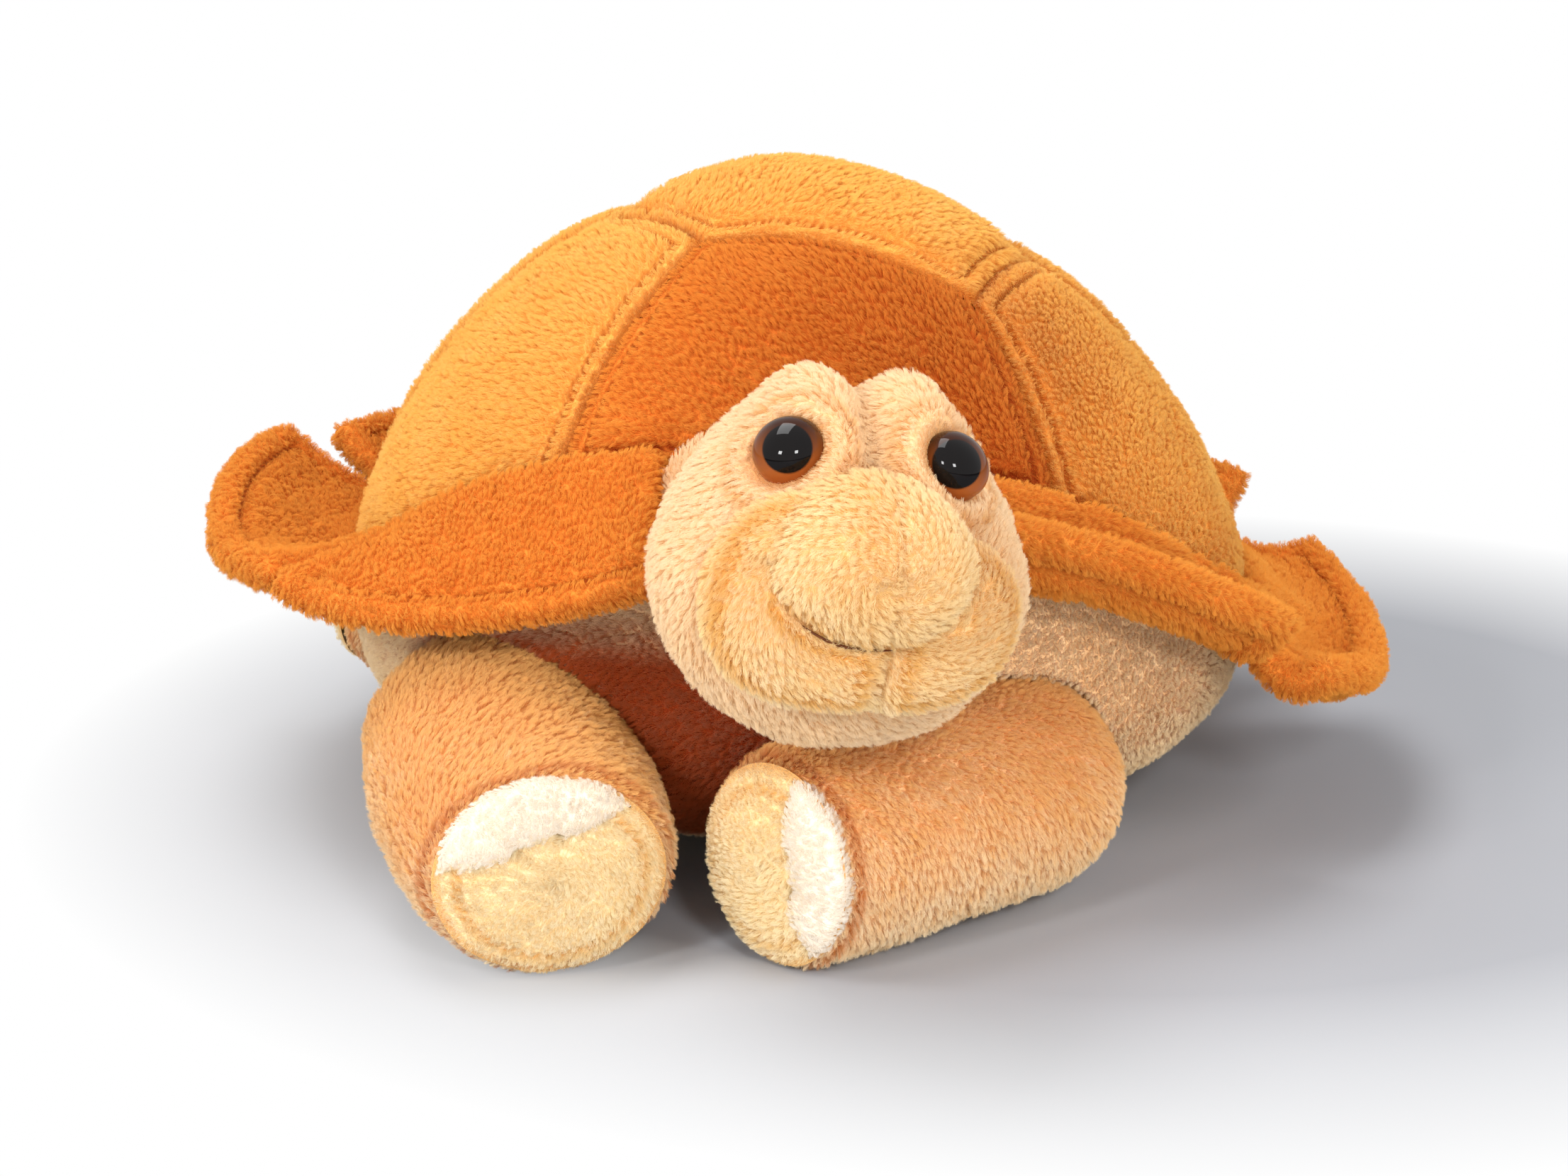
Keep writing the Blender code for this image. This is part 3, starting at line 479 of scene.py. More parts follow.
# %% Skin of the body
SHELL_RADIUS = 0.1175
EQUATOR_HEIGHT = 0.058
CROWN_RISE = 0.1075
CROWN_SHIFT = 0.007
CROWN_DROP = 0.0125
SHELL_ROUNDNESS = 1.72
BELLY_ROUNDNESS = 2.7
CHEST_HOLLOW = 0.01
ARCH_RISE = 0.047
ARCH_REACH = 84.0
MIDDLE = np.array((0.0, 0.0, EQUATOR_HEIGHT))


def lean(points):
    x, y, z = points.T
    share = z / (EQUATOR_HEIGHT + CROWN_RISE)
    drop = CROWN_DROP * x / SHELL_RADIUS * share
    return stack(x + CROWN_SHIFT * share**2, y, z - drop)


def compass(angle, reach, height):
    turn = np.radians(angle)
    return stack(reach * np.sin(turn), -reach * np.cos(turn), height)


def body_point(angle, latitude):
    turn = np.radians(np.abs(latitude))
    level = np.maximum(np.cos(turn), 0.0)
    upper = latitude >= 0.0
    reach = SHELL_RADIUS * level ** np.where(upper, 2.0 / SHELL_ROUNDNESS, 2.0 / BELLY_ROUNDNESS)
    dome = CROWN_RISE * np.sin(turn) ** (2.0 / SHELL_ROUNDNESS)
    share = np.minimum(reach / SHELL_RADIUS, 1.0)
    sag = (1.0 - share**BELLY_ROUNDNESS) ** (1.0 / BELLY_ROUNDNESS)
    height = EQUATOR_HEIGHT + np.where(upper, dome, -(EQUATOR_HEIGHT + 0.0005) * sag)
    folded = (angle + 180.0) % 360.0 - 180.0
    chest = hill(folded, 34.0) * hill(latitude - 8.0, 16.0)
    return lean(compass(angle, reach - CHEST_HOLLOW * chest, height))


def seam_latitude(angle):
    folded = (angle + 180.0) % 360.0 - 180.0
    share = np.minimum(np.abs(folded) / ARCH_REACH, 1.0) ** 1.6
    share = (0.002 + ARCH_RISE * (1.0 + np.cos(math.pi * share)) / 2.0) / CROWN_RISE
    return np.degrees(np.arcsin(share ** (SHELL_ROUNDNESS / 2.0)))


print("crown", body_point(np.zeros(1), np.full(1, 90.0)).round(4))

# %% [markdown]
# ## The shell
# Seven quilted panels: a six-sided one on top and six round it. Each is cut a little too big,
# so it puffs between its seams, and a row of topstitching follows every seam about 6 mm away.
# A seam is pulled in by its thread, which also gathers the cloth beside it into small puckers.

# %% Panels of the shell
WIDE, REAR, DEEP = 0.055, 0.035, 0.046
CORNER = math.degrees(math.atan2(REAR, DEEP))
SCUTE_CORNERS = [(-0.031, -0.037), (0.04, -0.045), (WIDE, 0.0)]
SCUTE_CORNERS = np.array(SCUTE_CORNERS + [(REAR, DEEP), (-REAR, DEEP), (-WIDE, 0.0)])
SCUTE_ANGLES = np.degrees(np.arctan2(SCUTE_CORNERS[:, 0], -SCUTE_CORNERS[:, 1]))


def scute_latitude(angle):
    """Latitude of the top panel's edge: the nearest of its six sides, looking out from above."""
    turn = np.radians(angle)
    reach = np.full(len(turn), SHELL_RADIUS)
    for first, second in zip(SCUTE_CORNERS, np.roll(SCUTE_CORNERS, -1, axis=0)):
        side = second - first
        crossing = np.sin(turn) * side[1] + np.cos(turn) * side[0]
        away = (first[0] * side[1] - first[1] * side[0]) / np.where(crossing == 0.0, 1.0, crossing)
        reach = np.where((away > 0.0) & (away < reach), away, reach)
    return np.degrees(np.arccos((reach / SHELL_RADIUS) ** (SHELL_ROUNDNESS / 2.0)))


def panel_edge(place):
    """Distance to a panel's nearest seam, from its chords."""

    def edge(u, v):
        none, full = np.zeros_like(u), np.ones_like(u)
        across = span(place(none, v), place(full, v)) * np.minimum(u, 1.0 - u)
        along = span(place(u, none), place(u, full)) * np.minimum(v, 1.0 - v)
        return np.minimum(across, along)

    return edge


def quilted(seed):
    """Puffed between its seams, pulled in at them, with puckers beside them."""

    def relief(v, points, distance):
        rise = 0.0012 * (1.0 - hill(distance, 0.016)) - 0.003 * hill(distance, 0.003)
        rise -= 0.0022 * hill(distance - TOPSTITCH, 0.0015)
        puckers = cloudy(points, 0.0055, seed) * hill(distance - 0.003, 0.007)
        return rise + 0.0007 * puckers + 0.0009 * cloudy(points, 0.024, seed + 1)

    return relief


def top_place(u, v):
    front_right, front_left, left, rear_left, rear_right, right = SCUTE_CORNERS
    ahead = np.maximum(1.0 - 2.0 * v, 0.0)[:, None]
    behind = np.maximum(2.0 * v - 1.0, 0.0)[:, None]
    one = right + (front_right - right) * ahead + (rear_right - right) * behind
    other = left + (front_left - left) * ahead + (rear_left - left) * behind
    x, y = mix(one, other, u[:, None]).T
    share = np.hypot(x, y) / SHELL_RADIUS
    rise = (1.0 - share**SHELL_ROUNDNESS) ** (1.0 / SHELL_ROUNDNESS)
    return lean(stack(x, y, EQUATOR_HEIGHT + CROWN_RISE * rise))


def side_place(low, high):
    """A panel between two seams; low and high are their angles at the rim and at the top."""

    def place(u, v):
        angle = mix(mix(*low, u), mix(*high, u), v)
        return body_point(angle, mix(seam_latitude(angle) - 0.6, scute_latitude(angle), v))

    return place


def shell_painted_shade(points):
    """The photograph's shell is browner where it faces right, next to the front panel's seam."""
    x, y, _ = points.T
    # Painted shade: the shell is painted deeper on its right side, beside the front panel, where the
    # light misses it.
    return 0.55 * hill(x - 0.056, 0.02) * held((-y - 0.015) / 0.03)


def front_painted_shade(points):
    # Painted shade: the front panel is painted deeper towards its right, away from the light.
    return np.clip(0.3 + points[:, 0] * 7.0, 0.0, 0.52)


def build_panel(name, place, kind, slot, size, seed):
    shade_and_tone = front_painted_shade if kind == "front" else shell_painted_shade
    piece = sew(name, 150, 150, place, MIDDLE, quilted(seed), size, panel_edge(place), shade_and_tone)
    dress(piece, kind, "torso", [name], parted=True)


build_panel("top_scute", top_place, "shell", "shell_plush", (0.118, -0.11), 1)
RIM_ANGLES = (-CORNER, CORNER, 90.0, 180.0 - CORNER, CORNER + 180.0, 270.0, 360.0 - CORNER)
TOP_ANGLES = np.append(SCUTE_ANGLES % 360.0, SCUTE_ANGLES[0] + 360.0)
TOP_ANGLES[0] -= 360.0
SIDES = ("front", "front_left", "rear_left", "rear", "rear_right", "front_right")
for side, name in enumerate(SIDES):
    # The front panel takes the shell plush's darker copy, which is painted shade.
    kind = "front" if name == "front" else "shell"
    place = side_place(RIM_ANGLES[side : side + 2], TOP_ANGLES[side : side + 2])
    build_panel(name + "_scute", place, kind, kind + "_plush", (0.12, 0.11), side + 3)

# %% [markdown]
# ## Legs: where they are
# Each leg is a stuffed tube that starts round behind the shoulder, swells and ends in a flat
# sole. The belly has to make room for the shoulders, so the legs' sizes come before it.

# %% Sizes of the legs
class Leg:
    """One leg's shoulder, sole and girth."""

    def __init__(self, shoulder, heading, length, width, height, sole, swell, lift, toes):
        turn = math.radians(heading)
        self.along = np.array((math.sin(turn), -math.cos(turn), 0.0))
        self.across = np.array((math.cos(turn), math.sin(turn), 0.0))
        x, y, z = shoulder
        self.shoulder = np.array((x * SHELL_RADIUS, y * SHELL_RADIUS, z * EQUATOR_HEIGHT))
        self.length, self.width, self.height = length, width, height
        self.sole = (width * sole[0], height * sole[1])
        self.swell, self.toes = swell, toes
        self.level = lift + self.sole[1]

    def girth(self, distance):
        share = held(distance / self.length)
        wide = mix(self.width, self.sole[0], share) + self.swell * np.sin(math.pi * share)
        return wide, mix(self.height, self.sole[1], share), mix(self.shoulder[2], self.level, share)

    def tube(self, turn, distance, ring):
        wide, high, level = self.girth(distance)
        point = self.shoulder + self.along * distance[:, None]
        point = point + self.across * (np.cos(turn) * wide * ring)[:, None]
        point[:, 2] = level + np.sin(turn) * high * ring
        return point

    def depth(self, points, room):
        """Below 1 inside the leg, with some room round it."""
        off = points - self.shoulder
        ahead = off @ self.along
        wide, high, level = self.girth(ahead)
        back = np.minimum(ahead, 0.0) / (self.width + room)
        aside = (off @ self.across) / (wide + room)
        return np.sqrt(back**2 + aside**2 + ((points[:, 2] - level) / (high + room)) ** 2)


# Shoulder; heading; length; half width and height, and the sole's shares of them; swell; lift; toes.
LEGS = {
    "front_right": Leg(
        (-0.651, -0.7105, 0.6), 14.0, 0.077, 0.0305, 0.0265, (0.93, 0.905), 0.0045, 0.0006, 108.0
    ),
    "front_left": Leg(
        (0.4294, -0.8424, 0.483), -46.5, 0.078, 0.029, 0.0265, (0.82, 0.94), 0.0015, 0.0006, 8.0
    ),
    "hind_right": Leg(
        (-0.731, 0.3573, 0.465), -110.0, 0.039, 0.021, 0.0195, (0.88, 0.87), 0.002, 0.0165, 90.0
    ),
    "hind_left": Leg(
        (0.6127, 0.5448, 0.431), 140.0, 0.039, 0.021, 0.0195, (0.88, 0.87), 0.002, 0.0065, 90.0
    ),
}
print({name: leg.shoulder.round(3).tolist() for name, leg in LEGS.items()})

# %% [markdown]
# ## The belly
# One soft bag from the rim seam down to the flat patch that it rests on. Where a leg is sewn
# in, the belly gives way to it, so its points are moved inwards until they clear the leg. A
# collar comes forward round the neck and folds in to the ball that the head turns on.

# %% Belly, collar and the fill in the neck
def make_room(points, room=0.0016, step=0.0006):
    """Moves points towards the body's middle line until they clear the legs."""
    inward = unit(MIDDLE * (1.0, 1.0, 0.7) - points, 1e-9)
    for leg in LEGS.values():
        for _ in range(90):
            stuck = leg.depth(points, room) < 1.0
            points[stuck] += inward[stuck] * step
    return points


def belly_place(u, v):
    angle = mix(-180.0, 180.0, u)
    return body_point(angle, mix(-90.0, seam_latitude(angle) - 0.3, v))


def chest_orange_and_painted_shade(points):
    """Between the front legs the cloth is the legs' own deep orange, painted much darker still:
    painted shade in the hollow under the head.
    """
    x, y, z = points.T
    return held((0.074 - z) / 0.014) * held((-y - 0.062) / 0.02) * held((0.05 - x) / 0.015)


BELLY_DEPTH = 0.14
relief = soft((0.0011, 0.03, 21), (0.0004, 0.01, 22), pull=0.003, width=0.004)
size, edge = (0.76, BELLY_DEPTH), to_end(BELLY_DEPTH)
belly = sew("belly_cover", 260, 90, belly_place, MIDDLE, relief, size, edge, chest_orange_and_painted_shade)
belly.data.vertices.foreach_set("co", make_room(points_of(belly.data)).ravel())
dress(belly, "belly", "torso", ["belly_cover", "body_stuffing", "pellet_bag"])

NECK_PIVOT = np.array((0.002, CHEST_HOLLOW - SHELL_RADIUS - 0.0195, 0.09))
COLLAR_ROOT, COLLAR_FRONT, COLLAR_FOLD = 0.039, 0.0296, 0.0086
FOLD_FROM = 0.72
BALL_RADIUS = 0.0235


def collar_place(u, v):
    """Comes forward round the neck, then folds in to the ball that the head turns on."""
    turn = TURN * u
    side = np.minimum(v / FOLD_FROM, 1.0)
    fold = np.maximum(v - FOLD_FROM, 0.0) / 0.28
    half = mix(COLLAR_ROOT, COLLAR_FRONT, side) - COLLAR_FOLD * fold
    root = NECK_PIVOT + (-0.002, 0.0305, -0.0055)
    front = NECK_PIVOT + (0.0, 0.0055, 0.0)
    middle = mix(root, front, side[:, None]) + stack(0.0, 0.0035 * fold, 0.0)
    return middle + stack(np.cos(turn) * half, 0.0, np.sin(turn) * half)


def collar_relief(v, points, distance):
    return 0.001 * cloudy(points, 0.012, 31) - 0.0012 * hill(v - FOLD_FROM, 0.1)


collar = sew("neck_cover", 90, 36, collar_place, NECK_PIVOT, collar_relief, (0.22, 0.03))
dress(collar, "skin", "torso", ["neck_cover"])


def ball_place(u, v):
    return NECK_PIVOT + BALL_RADIUS * globe(u, v)[:, (0, 2, 1)]


neck_fill = sew("neck_stuffing", 32, 20, ball_place, NECK_PIVOT)
neck_fill.data.materials.append(PILES["skin"][0])
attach(neck_fill, "neck")
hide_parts("neck_stuffing")

# %% [markdown]
# ## The head
# An egg with two brow lobes, each of which holds an eye, and a groove between them that runs
# down to the nose. Its grid starts at the face's middle, so its pile lies outwards and back,
# the way a hand strokes it.

# %% Head
HEAD_HALVES = np.array((0.0422, 0.04, 0.0398))
HEAD_TAPER = 0.16
HEAD_YAW, HEAD_ROLL = 9.5, 7.5
HEAD_BACK, HEAD_LIFT = 0.0012, 0.0109
EYE_ACROSS, EYE_UP = 0.48, 0.725
EYE_OUT = math.sqrt(1.0 - EYE_ACROSS**2 - EYE_UP**2)
EYE_SIDES = (-1.0, 1.0)
turned = Matrix.Rotation(math.radians(HEAD_YAW), 4, "Z")
tipped = Matrix.Rotation(math.radians(HEAD_ROLL), 4, "Y")
ahead = turned @ Vector((0.0, HEAD_BACK - HEAD_HALVES[1], HEAD_LIFT))
HEAD = Matrix.Translation(Vector(NECK_PIVOT) + ahead) @ turned @ tipped
HEAD_MIDDLE = np.array(HEAD.translation)
HEAD_TURN = np.array(HEAD.to_3x3())


def from_head(local):
    return local @ HEAD_TURN.T + HEAD_MIDDLE


def to_head(points):
    return (points - HEAD_MIDDLE) @ HEAD_TURN


def egg(x, y, z):
    """The head's plain form, narrower above its middle, from a direction."""
    narrow = 1.0 - HEAD_TAPER * np.maximum(z, 0.0)
    return stack(x * narrow, y, z) * HEAD_HALVES


def head_skin(x, y, z):
    """The egg with its brows."""
    px, py, pz = egg(x, y, z).T
    lobe = hill(np.abs(px) - 0.016, 0.012)
    groove = hill(px, 0.006)
    rise = np.maximum(z, 0.0) ** 2 * (0.0085 * lobe - 0.003 * groove)
    return stack(px, py, pz + rise)


def head_place(u, v):
    return from_head(head_skin(*globe(u, v).T))


def eye_seat(side):
    return egg(side * EYE_ACROSS, -EYE_OUT, EYE_UP)


def head_relief(v, points, distance):
    local = to_head(points)
    x, y, z = local.T
    front = held(-y / 0.02)
    rise = -0.0035 * hill(x, 0.0045) * front * held((z - 0.012) / 0.012)
    rise += 0.0015 * hill(np.abs(x) - 0.017, 0.01) * hill(z - 0.03, 0.014) * front
    for side in EYE_SIDES:
        away = span(local, eye_seat(side))
        rise += 0.001 * hill(away - 0.0125, 0.003) - 0.004 * np.exp(-((away / 0.0096) ** 4))
    rise += 0.0014 * hill(np.abs(x) - 0.037, 0.01) * hill(z + 0.002, 0.014) * front
    rise += 0.0012 * hill(x + 0.028, 0.01) * hill(z - 0.026, 0.012)
    return rise + 0.0005 * cloudy(points, 0.018, 41) + 0.00025 * cloudy(points, 0.006, 42)


def head_edge(u, v):
    """Distance to an eye's rim, inside which the pile is short."""
    local = to_head(head_place(u, v))
    away = [span(local, eye_seat(side)) for side in EYE_SIDES]
    return np.maximum(np.minimum(*away) - 0.0085, 0.0)


head = sew("head_cover", 200, 110, head_place, HEAD_MIDDLE, head_relief, (0.26, 0.13), head_edge)
dress(head, "skin", "head", ["head_cover", "head_stuffing"])

# %% [markdown]
# ## The muzzle
# A puffed cream patch wraps the lower face, and a round stuffed nose sits on it. The smile is
# the crease between the two, where the thread pulls them together. A seam runs down the middle.

# %% Muzzle patch and nose
MUZZLE_SPREAD = 56.0


def squarer(share):
    """Draws a circle's share out towards a square's."""
    return np.sign(share) * np.abs(share) ** (2.0 / 3.0)


def muzzle_place(u, v):
    aside, rise = squarer(np.cos(TURN * u)), squarer(np.sin(TURN * u))
    across = np.radians(MUZZLE_SPREAD) * aside * v
    tilt = np.where(rise > 0.0, 34.0 - 8.0 * aside, 32.5 - 4.0 * aside)
    up = np.radians(mix(1.0, -2.0, v) + tilt * rise * v)
    level = np.cos(up)
    way = stack(np.sin(across) * level, -np.cos(across) * level, np.sin(up))
    return from_head(egg(*way.T))


NOSE_HALVES = np.array((0.022, 0.022, 0.0182))
NOSE_MIDDLE = np.array((-0.03, -0.96, 0.27)) * HEAD_HALVES
SEAM_ASIDE = 0.003
PUFFED = 1.23


def off_nose(local):
    """Below 0 inside the nose, and the clock angle round it."""
    share = (local - NOSE_MIDDLE) / NOSE_HALVES
    return np.linalg.norm(share, axis=1) - 1.0, np.degrees(np.arctan2(share[:, 2], share[:, 0]))


def muzzle_relief(v, points, distance):
    local = to_head(points)
    x, _, z = local.T
    puff = 0.0102 * np.maximum(1.0 - v**3.2, 0.0) ** 0.45 - 0.001
    away, turn = off_nose(local * PUFFED)
    puff += 0.0034 * hill(away, 0.3) * hill(turn - 150.0, 48.0) * (v < 0.9)
    puff -= 0.0013 * hill(x - SEAM_ASIDE, 0.0012) * (z < 0.0) * (v > 0.3)
    puff -= 0.0022 * hill(distance, 0.0028)
    return puff + 0.0006 * cloudy(points, 0.012, 51)


def muzzle_edge(u, v):
    """Distance to the smile under the nose, or to the short seam below it."""
    local = to_head(muzzle_place(u, v))
    away, turn = off_nose(local * PUFFED)
    smile = np.abs(away) * 0.032 + np.maximum(np.abs(turn + 112.0) - 38.0, 0.0) * 0.0004
    seam = np.abs(local[:, 0] - SEAM_ASIDE) + np.maximum(-away, 0.0) * 0.05
    seam += (local[:, 2] > NOSE_MIDDLE[2]) * 0.02
    return np.minimum(np.minimum(smile, seam + 0.0015), (1.0 - v) * 0.022)


def muzzle_warmth(points):
    """The patch's tone goes deeper upwards towards the nose, and stays plain lower down."""
    return 0.34 * held((to_head(points)[:, 2] + 0.02) / 0.022)


looks = (muzzle_relief, (0.2, 0.035), muzzle_edge, muzzle_warmth)
muzzle = sew("jaw", 190, 80, muzzle_place, HEAD_MIDDLE, *looks)
dress(muzzle, "face", "head", ["jaw"])


def smile_line():
    """Where the muzzle meets the nose, from the mouth's corner to the seam, in the head's axes."""
    local = to_head(points_of(muzzle.data))
    away, turn = off_nose(local)
    near = (np.abs(away) < 0.12) & (turn > -165.0) & (turn < -70.0)
    turns = np.linspace(-132.0, -74.0, 33)
    spots = []
    for clock in turns:
        miss = np.where(near, np.abs(away) * 40.0 + np.abs(turn - clock), 1e9)
        spots.append(local[np.argsort(miss)[:12]].mean(axis=0))
    share = (turns - turns.mean()) / 32.0
    return np.array([np.polyval(np.polyfit(share, row, 4), share) for row in np.array(spots).T]).T


SMILE = smile_line()


def nose_edge(u, v):
    """Distance to the smile, beside which the nose's pile is short."""
    local = to_head(nose_place(u, v))
    return np.min([span(local, spot) for spot in SMILE], axis=0)


def nose_place(u, v):
    return from_head(NOSE_MIDDLE + globe(u, v) * NOSE_HALVES)


def nose_relief(v, points, distance):
    x = to_head(points)[:, 0]
    seam = 0.0009 * hill(x - 0.0016, 0.001) + 0.0014 * hill(distance, 0.003)
    return 0.0006 * cloudy(points, 0.014, 61) + 0.0003 * cloudy(points, 0.005, 62) - seam


def nose_warmth(points):
    """A deeper tone over the middle and upper part."""
    local = (to_head(points) - NOSE_MIDDLE) / NOSE_HALVES
    return 0.32 * hill(local[:, 0] + 0.1, 0.6) * held(local[:, 2] + 0.9)


looks = (nose_relief, (0.13, 0.06), nose_edge, nose_warmth)
nose = sew("snout", 130, 70, nose_place, from_head(NOSE_MIDDLE), *looks)
dress(nose, "face", "head", ["snout"])

# %% [markdown]
# ## The smile
# The line where muzzle and nose meet is found among the muzzle's own points. A dark thread
# pulls the cloth in along it: a thin tube of small rings, thinner at both ends. Its near-black
# colour is partly the thread's own and partly painted shade of the crease.

# %% The smile's thread
THREAD_RADIUS = 0.00036
THREAD_OUT = 0.0009


def build_smile():
    """A pulled thread in the crease, as a thin tapered tube, dark with its own colour and with
    painted shade of the crease.
    """
    ahead = unit(np.gradient(SMILE, axis=0))
    out = np.array((0.0, -1.0, -0.35))
    side = unit(np.cross(ahead, out))
    up = np.cross(side, ahead)
    middle = SMILE + out * THREAD_OUT
    thick = THREAD_RADIUS * (1.0 - np.abs(np.linspace(-1.0, 1.0, len(SMILE))) ** 3 * 0.75)
    turns = [step * TURN / 8.0 for step in range(8)]
    bm = bmesh.new()
    rings = []
    for spot, one, two, radius in zip(middle, side, up, thick):
        ring = [spot + (one * math.cos(turn) + two * math.sin(turn)) * radius for turn in turns]
        rings.append([bm.verts.new(from_head(point)) for point in ring])
    for first, second in zip(rings, rings[1:]):
        for face in zip(first, first[1:] + first[:1], second[1:] + second[:1], second):
            bm.faces.new(face)
    bm.faces.new(rings[0])
    bm.faces.new(rings[-1])
    bmesh.ops.recalc_face_normals(bm, faces=bm.faces)
    thread = shown(bm, "smile_thread")
    thread.data.shade_smooth()
    finish = Finish("mouth_thread")
    ply = finish.noise(finish.place(), 1400.0)
    # Partly the thread's own colour, partly painted shade of the crease.
    finish.put(Base_Color=finish.mix(ply, colour(0.06, 0.014, 0.004), colour(0.2, 0.06, 0.016)))
    finish.put(Roughness=0.8)
    thread.data.materials.append(finish.material)
    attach(thread, "head")


build_smile()
print("smile", round(float(span(SMILE[1:], SMILE[:-1]).sum()) * 1000.0, 1), "mm long")

# %% [markdown]
# ## The eyes
# Safety eyes are domes of clear plastic, painted behind: a black pupil in a brown ring. A
# turned profile gives the dome. The paint is a colour by distance from its axis, with painted
# shade that darkens the ring towards its top, and a clear coat over it gives the deep gloss.

# %% Eyes
EYE_RADIUS = 0.008
EYE_DOME = 0.0062
EYE_BASE = 0.002
PUPIL, PUPIL_RIM = 0.0057, 0.0004
GAZE = Vector((-0.02, -0.9, 0.24))


def eye_finish():
    finish = Finish("eye_gloss")
    away = finish.node("ShaderNodeAttribute", {"attribute_name": "away"}, output=2)
    rise = finish.node("ShaderNodeAttribute", {"attribute_name": "rise"}, output=2)
    pupil = ((PUPIL - away) / PUPIL_RIM).held()
    # Painted shade: the brown ring is painted near black towards its top, under the dome's rim.
    iris_with_painted_shade = finish.mix(rise, colour(0.4, 0.105, 0.02), colour(0.035, 0.008, 0.002))
    finish.put(Base_Color=finish.mix(pupil, iris_with_painted_shade, colour(0.004, 0.003, 0.003)))
    finish.put(Coat_Weight=pupil * 0.2 + 0.8, Roughness=0.35, Specular_IOR_Level=0.0)
    finish.put(Coat_Roughness=0.015, Coat_IOR=1.28)
    return finish.material


EYE_FINISH = eye_finish()


def build_eye(name, side):
    seat = Vector(eye_seat(side).tolist())
    narrow = HEAD_HALVES * (1.0 - HEAD_TAPER * EYE_UP, 1.0, 1.0)
    look = Vector(np.array((side * EYE_ACROSS, -EYE_OUT, EYE_UP)) / narrow)
    turn = look.to_track_quat("Z", "Y").to_matrix().to_4x4()
    turns = np.radians(np.linspace(0.0, 90.0, 25))
    outline = [(EYE_RADIUS * math.sin(t), EYE_BASE + EYE_DOME * math.cos(t)) for t in turns]
    outline += [(EYE_RADIUS * 0.985, -0.0004), (EYE_RADIUS * 0.9, -0.002), (0.0, -0.0024)]
    bm = bmesh.new()
    verts = [bm.verts.new((reach, 0.0, height)) for reach, height in outline]
    for upper, lower in zip(verts, verts[1:]):
        bm.edges.new((upper, lower))
    profile = bm.verts[:] + bm.edges[:]
    bmesh.ops.spin(bm, geom=profile, axis=(0.0, 0.0, 1.0), angle=TURN, steps=72)
    bmesh.ops.remove_doubles(bm, verts=bm.verts, dist=0.000005)
    bm.normal_update()
    bmesh.ops.recalc_face_normals(bm, faces=bm.faces)
    eye = shown(bm, name, "_dome")
    mesh = eye.data
    eye.matrix_world = seated = HEAD @ Matrix.Translation(seat) @ turn
    gaze = seated.to_3x3().inverted() @ GAZE
    gaze = (gaze.normalized() * 0.85 + Vector((0.0, 0.0, 0.15))).normalized()
    spots = [vert.co - Vector((0.0, 0.0, 0.001)) for vert in mesh.vertices]
    away = [(spot - gaze * spot.dot(gaze)).length if spot.dot(gaze) > 0.0 else 0.01 for spot in spots]
    # rise is how high a point sits on the eye, and the ring is painted darker by it at the top, as
    # painted shade.
    rise = [0.5 + (seated.to_3x3() @ spot).z / 0.013 for spot in spots]
    mesh.attributes.new("away", "FLOAT", "POINT").data.foreach_set("value", away)
    mesh.attributes.new("rise", "FLOAT", "POINT").data.foreach_set("value", held(rise))
    mesh.shade_smooth()
    mesh.materials.append(EYE_FINISH)
    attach(eye, "head")
    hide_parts(name, name + "_washer")


build_eye("eye_left", 1.0)
build_eye("eye_right", -1.0)
print("two eyes,", EYE_RADIUS * 2000.0, "mm across")

# %% [markdown]
# ## The legs
# The tube is closed and round behind the shoulder. The sole is a shallow cream cushion, and a
# paler strip with three soft toes is sewn along its upper edge.

# %% Legs, soles and toes
MESH_STEP = 0.0013
SOLE_DOME = 0.006
TOE_SPREAD = 63.0


def build_leg(name, leg, seed):
    cap = leg.width * math.pi / 2.0
    rear = cap / (cap + leg.length)

    def place(u, v):
        back = np.minimum(v / rear, 1.0) * math.pi / 2.0
        ahead = np.maximum(v - rear, 0.0) / (1.0 - rear) * leg.length
        distance = np.where(v < rear, -leg.width * np.cos(back), ahead)
        ring = np.where(v < rear, np.sin(back), 1.0)
        return leg.tube(TURN * u, distance, ring)

    size = (TURN * leg.width, cap + leg.length)
    steps = [int(side / MESH_STEP) for side in size]
    relief = soft((0.001, 0.022, seed), (0.0005, 0.009, seed + 1), pull=0.0026, width=0.0035)
    cover = sew(name + "_leg_cover", *steps, place, leg.shoulder, relief, size, to_end(size[1]))
    nodes = [name + "_leg_cover", name + "_leg_stuffing"]
    dress(cover, "limb", name + "_leg", nodes)
    build_sole(name, leg, seed)


